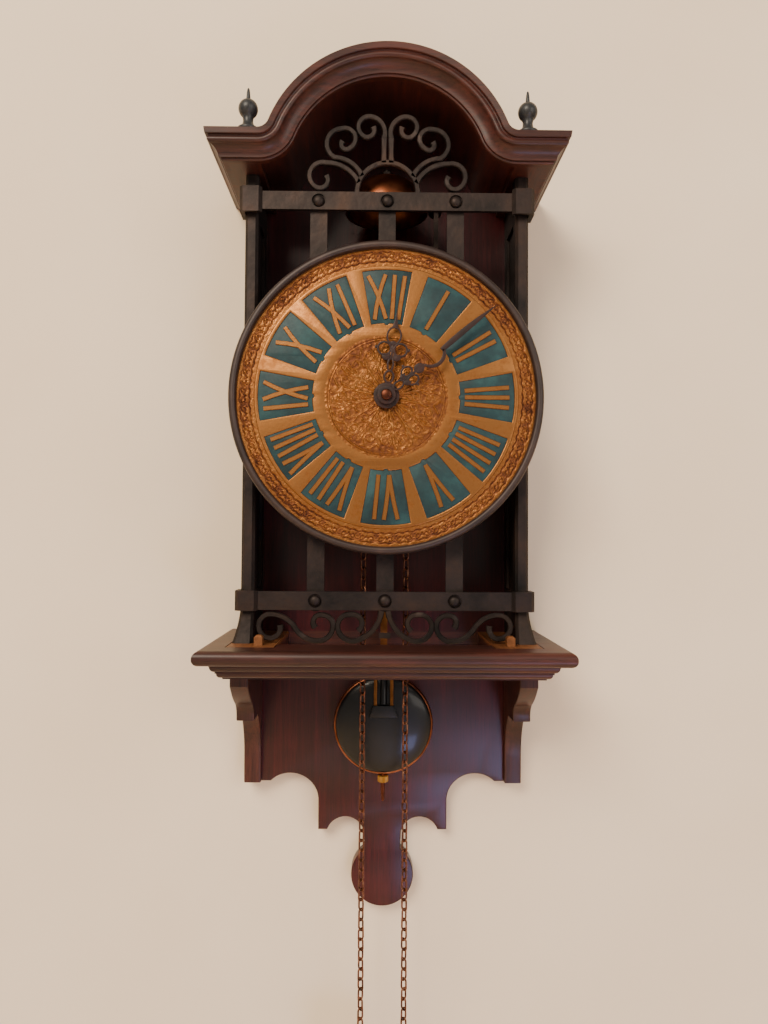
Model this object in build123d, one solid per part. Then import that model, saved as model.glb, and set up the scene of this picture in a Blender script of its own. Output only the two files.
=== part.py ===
"""Weight-driven wall clock in a scalloped case. Origin: the hanging hole at the wall; front -Y, up +Z."""
import math
import os

from build123d import *

# driving dimensions, mm
HOOD_HALF = 120.5
HOOD_FRONT = -107.0
HOOD_TOP = 23.0
HOOD_BASE = 5.0
ARCH_R = 84.5
ARCH_Z = -3.3
ARCH_FILLET = 8.0
MOULD_BACK = -92.0
FINIAL_X = 92.6
FINIAL_Y = -99.5
VAULT_OUT = 3.0
VAULT_IN = 13.0

BOARD_T = 12.0
BOARD_HALF = 97.5
APRON_HALF = 104.0
APRON_BASE = -428.3
BRACKET_W = 12.6

SHELF_TOP = -315.5
SHELF_NOSE_T = 9.5
SHELF_BASE = -335.0
SHELF_HALF = 120.0
SHELF_FRONT = -122.0
FLOOR_HALF = 102.7
FLOOR_FRONT = -100.0
FLOOR_T = 2.5
FLOOR_GAP = 0.8
WELL_HALF = 72.0
WELL_FRONT = -86.0

POST_X = 93.0
POST_W = 9.0
POST_D = 10.0
POST_FRONT = -78.0
# foot of the post: how far it spreads, up to which height above the shelf
FOOT_STEPS = [(1.2, 20.0), (2.4, 13.0), (3.6, 7.5), (4.8, 3.0)]
STRAP_FRONT = -81.0
STRAP_T = 3.0
STRAP_H = 12.5
STRAP_TOP_Z = -14.0
STRAP_LOW_Z = -287.0
RAIL_X = 47.0
RAIL_W = 11.7

DIAL_Z = -150.5
DIAL_R = 105.0
DIAL_T = 1.0
UNIT = DIAL_R / 158.0
BEZEL_IN = 150 * UNIT
MEDAL_R = 62 * UNIT

BELL_Y = -44.5
BELL_R = 30.0
BELL_RIM_Z = -8.0
BELL_RISE = 27.0
BELL_WALL = 1.6

PIVOT_Z = -97.0
PEND_Y = -35.0
BOB_Z = -381.0
BOB_R = 36.5
BOB_Y = -30.0
RIM_W = 1.8
RIM_HALF = 1.9
DOME_FRONT = 8.5
DOME_BACK = 4.4
ROD_R = 1.6

PLATE_FRONT_Y = -70.0
PLATE_BACK_Y = -44.0
PLATE_T = 1.6
PLATE_HALF = 34.0
PLATE_TOP = -92.0
PLATE_LOW = -212.0
MOD_GREAT = 0.9
MOD_CENTRE = 0.5
MOD_THIRD = 0.45
MOD_HOUR = 0.48
BORE_GAP = 0.05

CHAIN_PITCH_R = 15.0
SPROCKET_Z = DIAL_Z - 31.5
CHAIN_Y = -56.0
CHAIN_D = 4.5
CHAIN_END_Z = -591.0

# crown section: how far in from the edge, and how far proud of MOULD_BACK
CROWN = [(0.0, 3.4, 15.0), (3.4, 5.2, 13.4), (5.2, 7.0, 12.6), (7.0, 8.8, 11.2), (8.8, 10.4, 9.4)]
CROWN += [(10.4, 12.0, 7.6), (12.0, 14.2, 6.0), (14.2, 16.0, 4.9), (16.0, 18.0, 4.2)]

HANGER_R = 5.0
HANGER_T = 2.0
HANGER_HALF = 16.0
HANGER_ABOVE = 14.0
HANGER_BELOW = 14.0

COLLAR_H = (17.5, 13.5)
RIVET_HOLE = 4.7
RIVET_R = 3.2
RIVETS = [(x, z) for z in (STRAP_TOP_Z, STRAP_LOW_Z) for x in (-RAIL_X, 0, RAIL_X)]
CREST_Z = -244.0
BAR_Y = (STRAP_FRONT, STRAP_FRONT + 3.0)

BELL_HOLE = 2.0
HAMMER_X = 26.0
HAMMER_Z = -88.0
HAMMER_Y = BELL_Y

DIAL_FACE = -90.0
CARTOUCHE_IN = 73.5 * UNIT
CARTOUCHE_OUT = 128.5 * UNIT
CARTOUCHE_TURN = 11.6
FOOT_SCREW_R = 1.5
DIAL_FEET = [(x, z) for x in (-RAIL_X, RAIL_X) for z in (DIAL_Z + 80, DIAL_Z - 80)]

HOUR_TURN = 7.0
MINUTE_TURN = 50.3
HOUR_Y = -94.8
MINUTE_Y = -97.4
HAND_T = 1.0

PILLAR_X = 28.0
PILLARS = [(s * PILLAR_X, z) for s in (-1, 1) for z in (PLATE_TOP - 6, PLATE_LOW + 6)]
GREAT_Z = SPROCKET_Z
THIRD_X, THIRD_Z = 15.0, DIAL_Z + 20.0
ESCAPE_REACH = (80 + 9) * MOD_THIRD / 2
ESCAPE_X, ESCAPE_Z = 0.0, THIRD_Z + math.sqrt(ESCAPE_REACH**2 - THIRD_X**2)
MOTION_X, MOTION_Z = 12.0, DIAL_Z
CANNON_R = 2.4
ARBOR_NOSE_R = 1.2
HOUR_PIPE_R = 3.4
GREAT_Y = (-64.0, -62.2)
CENTRE_Y = (-50.0, -48.6)
THIRD_Y = (-58.0, -56.6)
ESCAPE_Y = (-48.0, -47.0)
ESCAPE_R = 14.0
MINUTE_WHEEL_Y = (-73.0, -71.8)
HOUR_WHEEL_Y = (-75.4, -74.2)
INNER_FRONT = PLATE_FRONT_Y + PLATE_T
REAR_END = PLATE_BACK_Y + PLATE_T
ESCAPE_TEETH = 42
STUD_R = 1.0
PIN_R = 1.0
PALLET_R = 15.8
CRUTCH_Y = (-42.2, -41.2)
CRUTCH_Z = -150.0
YOKE_TOP = SHELF_BASE - 1.0
YOKE_X = 5.9
COLLAR_TOP = -365.5
COLLAR_LOW = -374.0
COLLAR_BACK = -28.0
NUT_Z = -420.6
STEM_END = -437.0
STEM_R = 2.4
WEIGHT_R = 20.0
WEIGHT_H = 112.0
HOOK_H = 16.0
WIRE = 1.8
ENDS = (-1, 1)

os.makedirs("parts", exist_ok=True)


def save(shape, node):
    """Write one node; a list holds pieces that stay separate solids."""
    pieces = shape if isinstance(shape, list) else [shape]
    solids = [solid for piece in pieces for solid in piece.solids()]
    shape = solids[0] if len(solids) == 1 else Compound(children=solids)
    export_step(shape, f"parts/{node}.step")
    print(f"{node:26s} solids {len(solids):3d} volume {shape.volume:10.1f}")


def slab(x0, x1, y0, y1, z0, z1):
    """Box between the given faces."""
    centre = Pos((x0 + x1) / 2, (y0 + y1) / 2, (z0 + z1) / 2)
    return centre * Box(x1 - x0, y1 - y0, z1 - z0)


def upright(face, y0, y1):
    """A face drawn in X and Z, made solid from y0 to y1."""
    placed = Plane(origin=(0, y0, 0), x_dir=(1, 0, 0), z_dir=(0, -1, 0)) * face
    return extrude(placed, amount=-(y1 - y0))


def rod(radius, y0, y1, x=0.0, z=0.0):
    return upright(Pos(x, z) * Circle(radius), y0, y1)


def post(radius, z0, z1, x=0.0, y=0.0):
    return Pos(x, y, z0) * extrude(Circle(radius), amount=z1 - z0)


def mirrored(shape):
    return mirror(shape, about=Plane.YZ)


def both(shape):
    return shape + mirrored(shape)


def turned(points, axis_x=0.0, axis_y=0.0):
    """Solid of revolution about an upright axis from (radius, z) points."""
    face = Plane.XZ * make_face(Polyline([*points, points[0]]))
    return Pos(axis_x, axis_y, 0) * revolve(face, Axis.Z)


def turned_y(points, x=0.0, z=0.0):
    """Solid of revolution about a front-to-back axis from (radius, y) points."""
    face = make_face(Polyline([*points, points[0]]))
    return Pos(x, 0, z) * revolve(face, Axis.Y)


# hood

def hood_edge(inward, reach=HOOD_HALF):
    """Arched upper edge of the hood, moved inward, from left to right."""
    join_z = HOOD_TOP + ARCH_FILLET
    spread = ARCH_R + ARCH_FILLET
    join_x = math.sqrt(spread**2 - (join_z - ARCH_Z) ** 2)
    radius = ARCH_R - inward
    small = ARCH_FILLET + inward
    flat = HOOD_TOP - inward
    touch_x = join_x * radius / spread
    touch_z = ARCH_Z + (join_z - ARCH_Z) * radius / spread
    turn = math.atan2(join_x, join_z - ARCH_Z) / 2
    mid_x = join_x - small * math.sin(turn)
    mid_z = join_z - small * math.cos(turn)
    left = ThreePointArc((-join_x, flat), (-mid_x, mid_z), (-touch_x, touch_z))
    top = ThreePointArc((-touch_x, touch_z), (0, ARCH_Z + radius), (touch_x, touch_z))
    right = ThreePointArc((touch_x, touch_z), (mid_x, mid_z), (join_x, flat))
    return [Line((-reach, flat), (-join_x, flat)), left, top, right, Line((join_x, flat), (reach, flat))]


def hood_band(outer, inner, reach, y0, y1):
    """Strip between two inward offsets of the hood's edge."""
    ends = [
        Line((-reach, HOOD_TOP - outer), (-reach, HOOD_TOP - inner)),
        Line((reach, HOOD_TOP - outer), (reach, HOOD_TOP - inner)),
    ]
    return upright(make_face([*hood_edge(outer, reach), *hood_edge(inner, reach), *ends]), y0, y1)


def crown_front():
    """Crown moulding across the front, cut at 45 degrees at both corners."""
    solid = None
    for start, end, proud in CROWN:
        band = hood_band(start, end, HOOD_HALF, MOULD_BACK - proud, MOULD_BACK)
        solid = band if solid is None else solid + band
    return solid & mitre()


def mitre():
    depth = MOULD_BACK - HOOD_FRONT
    reach = HOOD_HALF + 0.01
    plan = Polyline(
        (-reach, HOOD_FRONT - 1), (reach, HOOD_FRONT - 1), (reach, HOOD_FRONT),
        (reach - depth, MOULD_BACK), (-reach + depth, MOULD_BACK), (-reach, HOOD_FRONT),
        (-reach, HOOD_FRONT - 1),
    )
    return Pos(0, 0, HOOD_BASE - 5) * extrude(make_face(plan), amount=100)


def crown_side(sign):
    """Crown moulding down one side, from the mitred corner to the wall."""
    inner = HOOD_HALF - (MOULD_BACK - HOOD_FRONT)
    solid = None
    for start, end, proud in CROWN:
        piece = slab(inner, inner + proud, HOOD_FRONT, 0, HOOD_TOP - end, HOOD_TOP - start)
        solid = piece if solid is None else solid + piece
    solid = solid - mitre()
    return solid if sign > 0 else mirrored(solid)


def hood_vault():
    """Arched roof board behind the front moulding, back to the wall."""
    inner = HOOD_HALF - (MOULD_BACK - HOOD_FRONT)
    return hood_band(VAULT_OUT, VAULT_IN, inner, MOULD_BACK, 0)


def hood_soffit(sign):
    """Flat board closing the underside of one shoulder."""
    inner = HOOD_HALF - (MOULD_BACK - HOOD_FRONT)
    board = slab(POST_X - 8, inner, MOULD_BACK, 0, HOOD_BASE, HOOD_TOP - VAULT_IN)
    return board if sign > 0 else mirrored(board)


def finial(sign):
    """Turned ball and spike on the shoulder."""
    z = HOOD_TOP
    ball_z = z + 17.5
    ball_r = 6.5
    outline = [(0, z), (5.6, z), (6.0, z + 1.2), (5.6, z + 2.4), (3.4, z + 3.8)]
    outline += [(2.9, z + 6), (3.4, z + 8.6), (4.4, z + 9.6), (3.6, z + 10.6)]
    for step in range(9):
        angle = math.radians(-56 + step * 16)
        outline.append((ball_r * math.cos(angle), ball_z + ball_r * math.sin(angle)))
    outline += [(1.5, ball_z + 6.9), (1.3, ball_z + 8), (0.5, ball_z + 11.6), (0, ball_z + 12)]
    return turned(outline, sign * FINIAL_X, FINIAL_Y)


# backboard and hanger

def backboard():
    """Back panel from shelf to hood roof."""
    inner = HOOD_HALF - (MOULD_BACK - HOOD_FRONT)
    flat = HOOD_TOP - VAULT_IN
    head_edges = [*hood_edge(VAULT_IN, POST_X - 8)]
    sides = [
        Line((-POST_X + 8, flat), (-POST_X + 8, 0)),
        Line((-POST_X + 8, 0), (POST_X - 8, 0)),
        Line((POST_X - 8, 0), (POST_X - 8, flat)),
    ]
    head = upright(make_face([*head_edges, *sides]), -BOARD_T, 0)
    panel = slab(-BOARD_HALF, BOARD_HALF, -BOARD_T, 0, SHELF_TOP, HOOD_BASE)
    pocket = slab(-HANGER_HALF, HANGER_HALF, -HANGER_T, 0, -HANGER_BELOW, HANGER_ABOVE)
    key = rod(HANGER_R + 3.5, -9, 0)
    return head + panel - pocket - key


def wall_hanger():
    """Steel plate let into the back, with the hole that hangs on a wall screw."""
    plate = slab(-HANGER_HALF, HANGER_HALF, -HANGER_T, 0, -HANGER_BELOW, HANGER_ABOVE)
    return plate - rod(HANGER_R, -HANGER_T - 1, 1)


def apron():
    """Lower back board with its scalloped foot and round drop."""
    half, base = APRON_HALF, APRON_BASE
    edge = [
        Line((0, SHELF_BASE), (half, SHELF_BASE)),
        Line((half, SHELF_BASE), (half, base)),
        Line((half, base), (84.5, base)),
        ThreePointArc((84.5, base), (69.5, -422.5), (54.6, -428.7)),
        ThreePointArc((54.6, -428.7), (50.0, -435.3), (48.5, -443.5)),
        Line((48.5, -443.5), (48.5, -464.5)),
        Line((48.5, -464.5), (41.6, -464.5)),
        ThreePointArc((41.6, -464.5), (27.8, -455.0), (14.0, -466.0)),
        Line((14.0, -466.0), (13.4, -478.8)),
        ThreePointArc((13.4, -478.8), (22.9, -502.8), (0, -521.4)),
        Line((0, -521.4), (0, SHELF_BASE)),
    ]
    return both(upright(make_face(edge), -BOARD_T, 0))


# shelf

def moulded_board(half, front, steps):
    """Board whose two sides and front carry the same stepped moulding."""
    solid = None
    for inset, z0, z1 in steps:
        piece = slab(-half + inset, half - inset, front + inset, 0, z0, z1)
        solid = piece if solid is None else solid + piece
    return solid


def shelf_board():
    nose = slab(-SHELF_HALF, SHELF_HALF, SHELF_FRONT, 0, SHELF_TOP - SHELF_NOSE_T, SHELF_TOP)
    rounded = [e for e in nose.edges().filter_by(Axis.X) if e.center().Y < -1]
    rounded += list(nose.edges().filter_by(Axis.Y))
    nose = fillet(rounded, SHELF_NOSE_T / 2 - 0.4)
    reach = FLOOR_HALF + FLOOR_GAP
    recess = slab(WELL_HALF - 1, reach, FLOOR_FRONT - FLOOR_GAP, -BOARD_T, SHELF_TOP - FLOOR_T, SHELF_TOP + 1)
    return nose - both(recess) - well()


def well():
    """Opening in the shelf that the pendulum and the chains hang through."""
    return slab(-WELL_HALF, WELL_HALF, WELL_FRONT, -BOARD_T, SHELF_BASE - 1, SHELF_TOP + 1)


def shelf_moulding():
    """Cove and fillets under the shelf's rounded nose."""
    top = SHELF_TOP - SHELF_NOSE_T
    steps = [(8.9, top - 1.6, top), (9.6, top - 2.8, top - 1.6), (10.8, top - 4.0, top - 2.8)]
    steps += [(12.2, top - 6.0, top - 4.0), (13.4, top - 7.6, top - 6.0), (16.3, SHELF_BASE, top - 7.6)]
    return moulded_board(SHELF_HALF, SHELF_FRONT, steps) - well()


def floor_board(sign):
    """Thin pale board let into the shelf under one side frame."""
    board = slab(WELL_HALF, FLOOR_HALF, FLOOR_FRONT, -BOARD_T, SHELF_TOP - FLOOR_T, SHELF_TOP)
    return board if sign > 0 else mirrored(board)


def corner_block(sign):
    """Small chamfered block behind each front foot."""
    block = slab(80.5, 86.0, -92.0, -85.5, SHELF_TOP, SHELF_TOP + 6.5)
    block = chamfer(block.edges().group_by(Axis.Z)[-1], 1.2)
    return block if sign > 0 else mirrored(block)


def bracket(sign):
    """Scalloped corbel under the shelf: bulge, step, hollow, straight foot."""
    z = SHELF_BASE
    edge = [
        Line((-BOARD_T, z), (-79.5, z)),
        Line((-79.5, z), (-79.5, z - 10)),
        ThreePointArc((-79.5, z - 10), (-71.0, z - 18), (-60.5, z - 25)),
        ThreePointArc((-60.5, z - 25), (-54.5, z - 29.5), (-52.0, z - 35)),
        Line((-52.0, z - 35), (-52.0, z - 39)),
        Line((-52.0, z - 39), (-32.5, z - 39)),
        ThreePointArc((-32.5, z - 39), (-21.5, z - 54), (-16.8, z - 75)),
        Line((-16.8, z - 75), (-16.5, APRON_BASE)),
        Line((-16.5, APRON_BASE), (-BOARD_T, APRON_BASE)),
        Line((-BOARD_T, APRON_BASE), (-BOARD_T, z)),
    ]
    face = Plane(origin=(APRON_HALF - BRACKET_W, 0, 0), x_dir=(0, 1, 0), z_dir=(1, 0, 0)) * make_face(edge)
    solid = extrude(face, amount=BRACKET_W)
    return solid if sign > 0 else mirrored(solid)


# iron cage

def front_post(sign):
    """Square chamfered post with a foot that spreads on to the shelf."""
    x, half = POST_X, POST_W / 2
    y0 = POST_FRONT
    shaft = slab(x - half, x + half, y0, y0 + POST_D, SHELF_TOP, HOOD_BASE)
    shaft = chamfer(shaft.edges().filter_by(Axis.Z), 2.0)
    for spread, rise in FOOT_STEPS:
        shaft = shaft + slab(x - half, x + half + spread, y0 - spread, y0 + POST_D, SHELF_TOP, SHELF_TOP + rise)
    return shaft if sign > 0 else mirrored(shaft)


def side_frame(sign):
    """Two stiles and three rails in iron, from the front post back to the board."""
    outer, inner = BOARD_HALF, BOARD_HALF - 5.5
    front = POST_FRONT + POST_D
    frame = slab(inner, outer, front, -BOARD_T, SHELF_TOP, HOOD_BASE)
    opening = slab(inner - 1, outer + 1, front + 8, -BOARD_T - 10, SHELF_TOP + 34, HOOD_BASE - 22)
    frame = frame - opening
    return frame if sign > 0 else mirrored(frame)


def side_panel(sign):
    """Thin panel set in the side frame's opening."""
    x = BOARD_HALF - 3.6
    front = POST_FRONT + POST_D + 8
    panel = slab(x, x + 1.6, front, -BOARD_T - 10, SHELF_TOP + 34, HOOD_BASE - 22)
    return panel if sign > 0 else mirrored(panel)


def strap(z):
    half = POST_X + POST_W / 2
    bar = slab(-half, half, STRAP_FRONT, STRAP_FRONT + STRAP_T, z - STRAP_H / 2, z + STRAP_H / 2)
    for x in (-RAIL_X, 0, RAIL_X):
        bar = bar - rod(RIVET_HOLE, STRAP_FRONT - 1, STRAP_FRONT + 1.2, x, z)
    return bar


def collar(sign, z):
    """Band that clasps the post and the end of the strap."""
    height = COLLAR_H[0] if z > DIAL_Z else COLLAR_H[1]
    inner = slab(POST_X - 8, POST_X + POST_W / 2, STRAP_FRONT - 0.1, POST_FRONT + POST_D, z - 20, z + 20)
    block = slab(POST_X - 7.5, POST_X + POST_W / 2 + 3.2, STRAP_FRONT - 2.6, POST_FRONT + POST_D,
                 z - height / 2, z + height / 2)
    outer = [e for e in block.edges().filter_by(Axis.Z) if e.center().Y < STRAP_FRONT]
    block = chamfer(outer, 2.2) - inner
    return block if sign > 0 else mirrored(block)


def vertical_strap(x):
    """Upright iron strap behind the dial, lapped behind the two cross straps."""
    y0 = STRAP_FRONT + STRAP_T
    bar = slab(x - RAIL_W / 2, x + RAIL_W / 2, y0, y0 + 2, STRAP_LOW_Z, STRAP_TOP_Z)
    bar = bar + rod(7.5, y0, y0 + 2, x, STRAP_TOP_Z) + rod(7.3, y0, y0 + 2, x, STRAP_LOW_Z)
    for foot_x, foot_z in DIAL_FEET:
        bar = bar - rod(FOOT_SCREW_R, y0 - 1, y0 + 3, foot_x, foot_z)
    if x == 0:
        bar = bar + rod(14, y0, y0 + 2, 0, DIAL_Z) - rod(9, y0 - 1, y0 + 3, 0, DIAL_Z)
    return bar


def rivet(x, z):
    base = STRAP_FRONT + 1.2
    outline = [(0, base), (RIVET_R, base), (RIVET_R, base - 1.0), (2.6, base - 2.0), (1.5, base - 2.7), (0, base - 3.0)]
    return turned_y(outline, x, z)


def bar_along(points, thick, y0, y1):
    """Flat bar bent along arcs through every second point."""
    path = None
    for a, b, c in zip(points[0::2], points[1::2], points[2::2]):
        arc = ThreePointArc(a, b, c)
        ribbon = trace(arc, thick)
        path = ribbon if path is None else path + ribbon
    for point in points[0::2]:
        path = path + Pos(*point) * Circle(thick / 2)
    return upright(path, y0, y1)


def crest():
    """Half ring with six scrolls, standing on the top strap."""
    base = STRAP_TOP_Z + STRAP_H / 2
    ring = rod(22.3, *BAR_Y, 0, base) - rod(19.3, STRAP_FRONT - 1, STRAP_FRONT + 4, 0, base)
    ring = ring & slab(-30, 30, -90, -70, base, base + 40)
    stem = slab(1.0, 4.0, *BAR_Y, base + 20.6, base + 44)
    lift = CREST_Z
    one = [(2.5, 280 + lift), (5.5, 291 + lift), (11.7, 293.0 + lift), (20.0, 284.5 + lift),
           (15.0, 277.5 + lift), (10.3, 279.4 + lift), (10.4, 283.6 + lift)]
    two = [(19.0, 251.5 + lift), (28.0, 259.5 + lift), (37.4, 263.4 + lift), (42.0, 273.3 + lift),
           (31.5, 283.0 + lift), (22.6, 277.5 + lift), (26.5, 269.5 + lift), (31.0, 269.6 + lift), (31.0, 273 + lift)]
    three = [(21.5, 247.0 + lift), (31.0, 257.0 + lift), (42.5, 259.6 + lift), (54.0, 250.5 + lift),
             (48.5, 242.6 + lift), (41.4, 245.2 + lift), (42.2, 250.8 + lift)]
    half = stem
    for scroll in (one, two, three):
        half = half + bar_along(scroll, 3.0, *BAR_Y)
    return ring + half + mirrored(half)


def low_scrolls():
    """Scroll band between the bottom strap and the shelf."""
    top = STRAP_LOW_Z - STRAP_H / 2
    low = SHELF_TOP
    crown, foot = top - 2.9, low + 1.4
    spiral = [(70.5, top - 10.2), (71.5, foot + 4.6), (76.4, foot + 1.6), (84.9, top - 11.4), (75.7, crown),
              (66.5, crown - 3), (60.5, crown - 8.8), (54.5, foot + 2.6), (45.9, foot), (37.2, foot + 3.4),
              (34.8, crown - 7.8), (37.0, crown - 2.4), (42.0, crown - 0.4), (48.0, crown - 3.8), (46.8, crown - 9)]
    hook = [(17.8, crown - 11), (15.4, crown - 5.0), (22.4, crown), (30.0, crown - 3), (31.7, crown - 9),
            (28.0, foot + 2.2), (19.6, foot), (9.5, foot + 5.6), (2.2, top)]
    half = bar_along(spiral, 3.0, *BAR_Y) + bar_along(hook, 3.0, *BAR_Y)
    return both(half) & slab(-92, 92, -90, -70, low, top)


def scroll_tie():
    z = SHELF_TOP + 5.5
    return slab(-3.8, 3.8, BAR_Y[0] - 1.0, BAR_Y[0], z - 2, z + 2)


# bell and strike

def bell():
    """Mouth-down bell with a rolled lip."""
    top = BELL_RIM_Z + BELL_RISE
    outer, inner = [], []
    for step in range(13):
        angle = math.radians(90 * step / 12)
        outer.append((BELL_R * math.cos(angle), BELL_RIM_Z + BELL_RISE * math.sin(angle)))
        inner.append(((BELL_R - BELL_WALL) * math.cos(angle), BELL_RIM_Z + (BELL_RISE - BELL_WALL) * math.sin(angle)))
    outer[-1] = (BELL_HOLE, top)
    inner[-1] = (BELL_HOLE, top - BELL_WALL)
    return turned([*outer, *reversed(inner)], 0, BELL_Y)


def bell_bracket():
    """Iron arm from the backboard that carries the bell on its upright post."""
    top = BELL_RIM_Z + BELL_RISE
    arm_z = BELL_RIM_Z - 12.0
    plate = slab(-9, 9, -BOARD_T - 2, -BOARD_T, arm_z - 24, arm_z + 4)
    arm = slab(-4, 4, BELL_Y - 4, -BOARD_T, arm_z - 2, arm_z)
    stem = post(BELL_HOLE, arm_z - 2, top + 5.5, 0, BELL_Y)
    seat = post(4.5, arm_z, BELL_RIM_Z + BELL_RISE - 2.1, 0, BELL_Y)
    return plate + arm + stem + seat


def bell_nut():
    top = BELL_RIM_Z + BELL_RISE
    nut = Pos(0, BELL_Y, top) * extrude(RegularPolygon(4.6, 6), amount=3.2)
    return nut - post(BELL_HOLE, top - 1, top + 4, 0, BELL_Y)


def hammer():
    """Strike arm with a round head just outside the bell's lip, on its own arbor."""
    head_x = BELL_R + 5.6
    head_z = BELL_RIM_Z + 4.0
    bend_z = -34.0
    arbor = rod(1.5, PLATE_FRONT_Y - PLATE_T, PLATE_BACK_Y + PLATE_T + 4, HAMMER_X, HAMMER_Z)
    arm_y0, arm_y1 = BELL_Y - 7.5, BELL_Y - 5.5
    arm = slab(HAMMER_X - 1.6, HAMMER_X + 1.6, arm_y0, arm_y1, HAMMER_Z, bend_z)
    lean = slab(HAMMER_X - 1.6, head_x + 1.6, arm_y0, arm_y1, bend_z - 3, bend_z)
    rise = slab(head_x - 1.6, head_x + 1.6, arm_y0, arm_y1, bend_z, head_z)
    hub = rod(4, arm_y0, arm_y1, HAMMER_X, HAMMER_Z)
    head = rod(5.0, BELL_Y - 9, BELL_Y + 5, head_x, head_z)
    return arbor + arm + lean + rise + hub + head


# dial

def around(radius, degrees):
    """Point on the dial, clockwise from the top."""
    angle = math.radians(degrees)
    return radius * math.sin(angle), DIAL_Z + radius * math.cos(angle)


def dial_plate():
    plate = rod(BEZEL_IN + 3, DIAL_FACE, DIAL_FACE + DIAL_T, 0, DIAL_Z)
    ridge = rod(BEZEL_IN, DIAL_FACE - 0.8, DIAL_FACE, 0, DIAL_Z) - rod(134 * UNIT, -120, -60, 0, DIAL_Z)
    return plate + ridge - rod(4.2, -120, -60, 0, DIAL_Z)


def cartouche(hour):
    """Enamel plate for one hour, with a fluted head."""
    turn = 30 * hour
    points = [around(CARTOUCHE_IN, turn - CARTOUCHE_TURN), around(CARTOUCHE_IN + 2.2, turn)]
    points += [around(CARTOUCHE_IN, turn + CARTOUCHE_TURN), around(CARTOUCHE_OUT - 3, turn + CARTOUCHE_TURN + 0.6)]
    points += [around(CARTOUCHE_OUT, turn + 6), around(CARTOUCHE_OUT - 1, turn)]
    points += [around(CARTOUCHE_OUT, turn - 6), around(CARTOUCHE_OUT - 3, turn - CARTOUCHE_TURN - 0.6)]
    return upright(make_face(Polyline([*points, points[0]])), DIAL_FACE - 1.0, DIAL_FACE)


def medallion():
    """Domed centre of the dial."""
    outline = [(4.2, DIAL_FACE), (MEDAL_R, DIAL_FACE), (MEDAL_R, DIAL_FACE - 0.8), (MEDAL_R - 3, DIAL_FACE - 1.6)]
    outline += [(MEDAL_R - 8, DIAL_FACE - 1.2), (12, DIAL_FACE - 2.0), (4.2, DIAL_FACE - 2.0)]
    return turned_y(outline, 0, DIAL_Z)


def bezel():
    """Dark turned rim that clasps the dial."""
    back = DIAL_FACE + DIAL_T
    outline = [(BEZEL_IN, DIAL_FACE), (BEZEL_IN, DIAL_FACE - 2.4), (BEZEL_IN + 1.4, DIAL_FACE - 4.4)]
    outline += [(DIAL_R - 1.8, DIAL_FACE - 4.6), (DIAL_R - 0.3, DIAL_FACE - 2.8), (DIAL_R, DIAL_FACE - 1)]
    outline += [(DIAL_R, back + 4), (DIAL_R - 1.2, back + 4), (DIAL_R - 1.2, back), (BEZEL_IN + 3, back)]
    outline += [(BEZEL_IN + 3, DIAL_FACE)]
    return turned_y(outline, 0, DIAL_Z)


def dial_foot(x, z):
    """Turned foot from the back of the dial to a cage strap."""
    back = DIAL_FACE + DIAL_T
    return rod(3.0, back, STRAP_FRONT + STRAP_T, x, z) + rod(FOOT_SCREW_R, STRAP_FRONT + STRAP_T, -74.5, x, z)


# hands


def hand_at(face, y, turn):
    blade = upright(face, y - HAND_T, y)
    return Pos(0, 0, DIAL_Z) * (blade.rotate(Axis.Y, turn))


def hour_hand():
    """Pierced hour hand on the pipe of the hour wheel."""
    face = Circle(9.0) - Circle(HOUR_PIPE_R)
    face += Pos(0, 15) * (Circle(7.5) - Circle(5.3))
    for side in (-1, 1):
        face += Pos(side * 9.0, 27.5) * (Circle(7.2) - Circle(4.8))
        face += Pos(side * 3.4, 24.0) * Rectangle(2.6, 8)
    face += Pos(0, 36.5) * (Ellipse(6.4, 8.4) - Ellipse(4.0, 5.8))
    face += Pos(0, 24.5) * Rectangle(2.4, 9)
    tip = Polyline((-3.4, 43.0), (0, 62.0), (3.4, 43.0), (-3.4, 43.0))
    face += make_face(tip)
    return hand_at(face, HOUR_Y, HOUR_TURN)


def minute_hand():
    """Pierced minute hand with a slim blade, on the squared cannon pinion."""
    face = Circle(7.6) - Circle(CANNON_R)
    face += Pos(0, 14) * (Circle(7.2) - Circle(5.0))
    for side in (-1, 1):
        face += Pos(side * 5.6, 26.0) * (Ellipse(5.6, 7.4) - Ellipse(3.4, 5.2))
    face += Pos(0, 39.5) * (Ellipse(5.0, 8.2) - Ellipse(2.8, 6.0))
    face += Pos(0, 27.0) * Rectangle(2.2, 12)
    blade = [Line((-2.2, 46.5), (2.6, 46.5)), ThreePointArc((2.6, 46.5), (2.4, 72), (0, 94.5))]
    blade += [ThreePointArc((0, 94.5), (-3.0, 70), (-2.2, 46.5))]
    face += make_face(blade)
    return hand_at(face, MINUTE_Y, MINUTE_TURN)


def hand_nut():
    end = MINUTE_Y - HAND_T
    return rod(3.6, end - 2.2, end, 0, DIAL_Z) - rod(ARBOR_NOSE_R, end - 4, end + 1, 0, DIAL_Z)


# movement

def mesh_turn(teeth, turn, other_teeth, heading):
    """Turn of a wheel that meshes with one at the given turn, seen from it at a heading."""
    step, other_step = 360.0 / teeth, 360.0 / other_teeth
    offset = ((turn - heading) / step) % 1.0
    return heading + 180 - offset * other_step + other_step / 2


def heading(x0, z0, x1, z1):
    """Direction between two centres, clockwise from the top."""
    return math.degrees(math.atan2(x1 - x0, z1 - z0))


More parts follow.
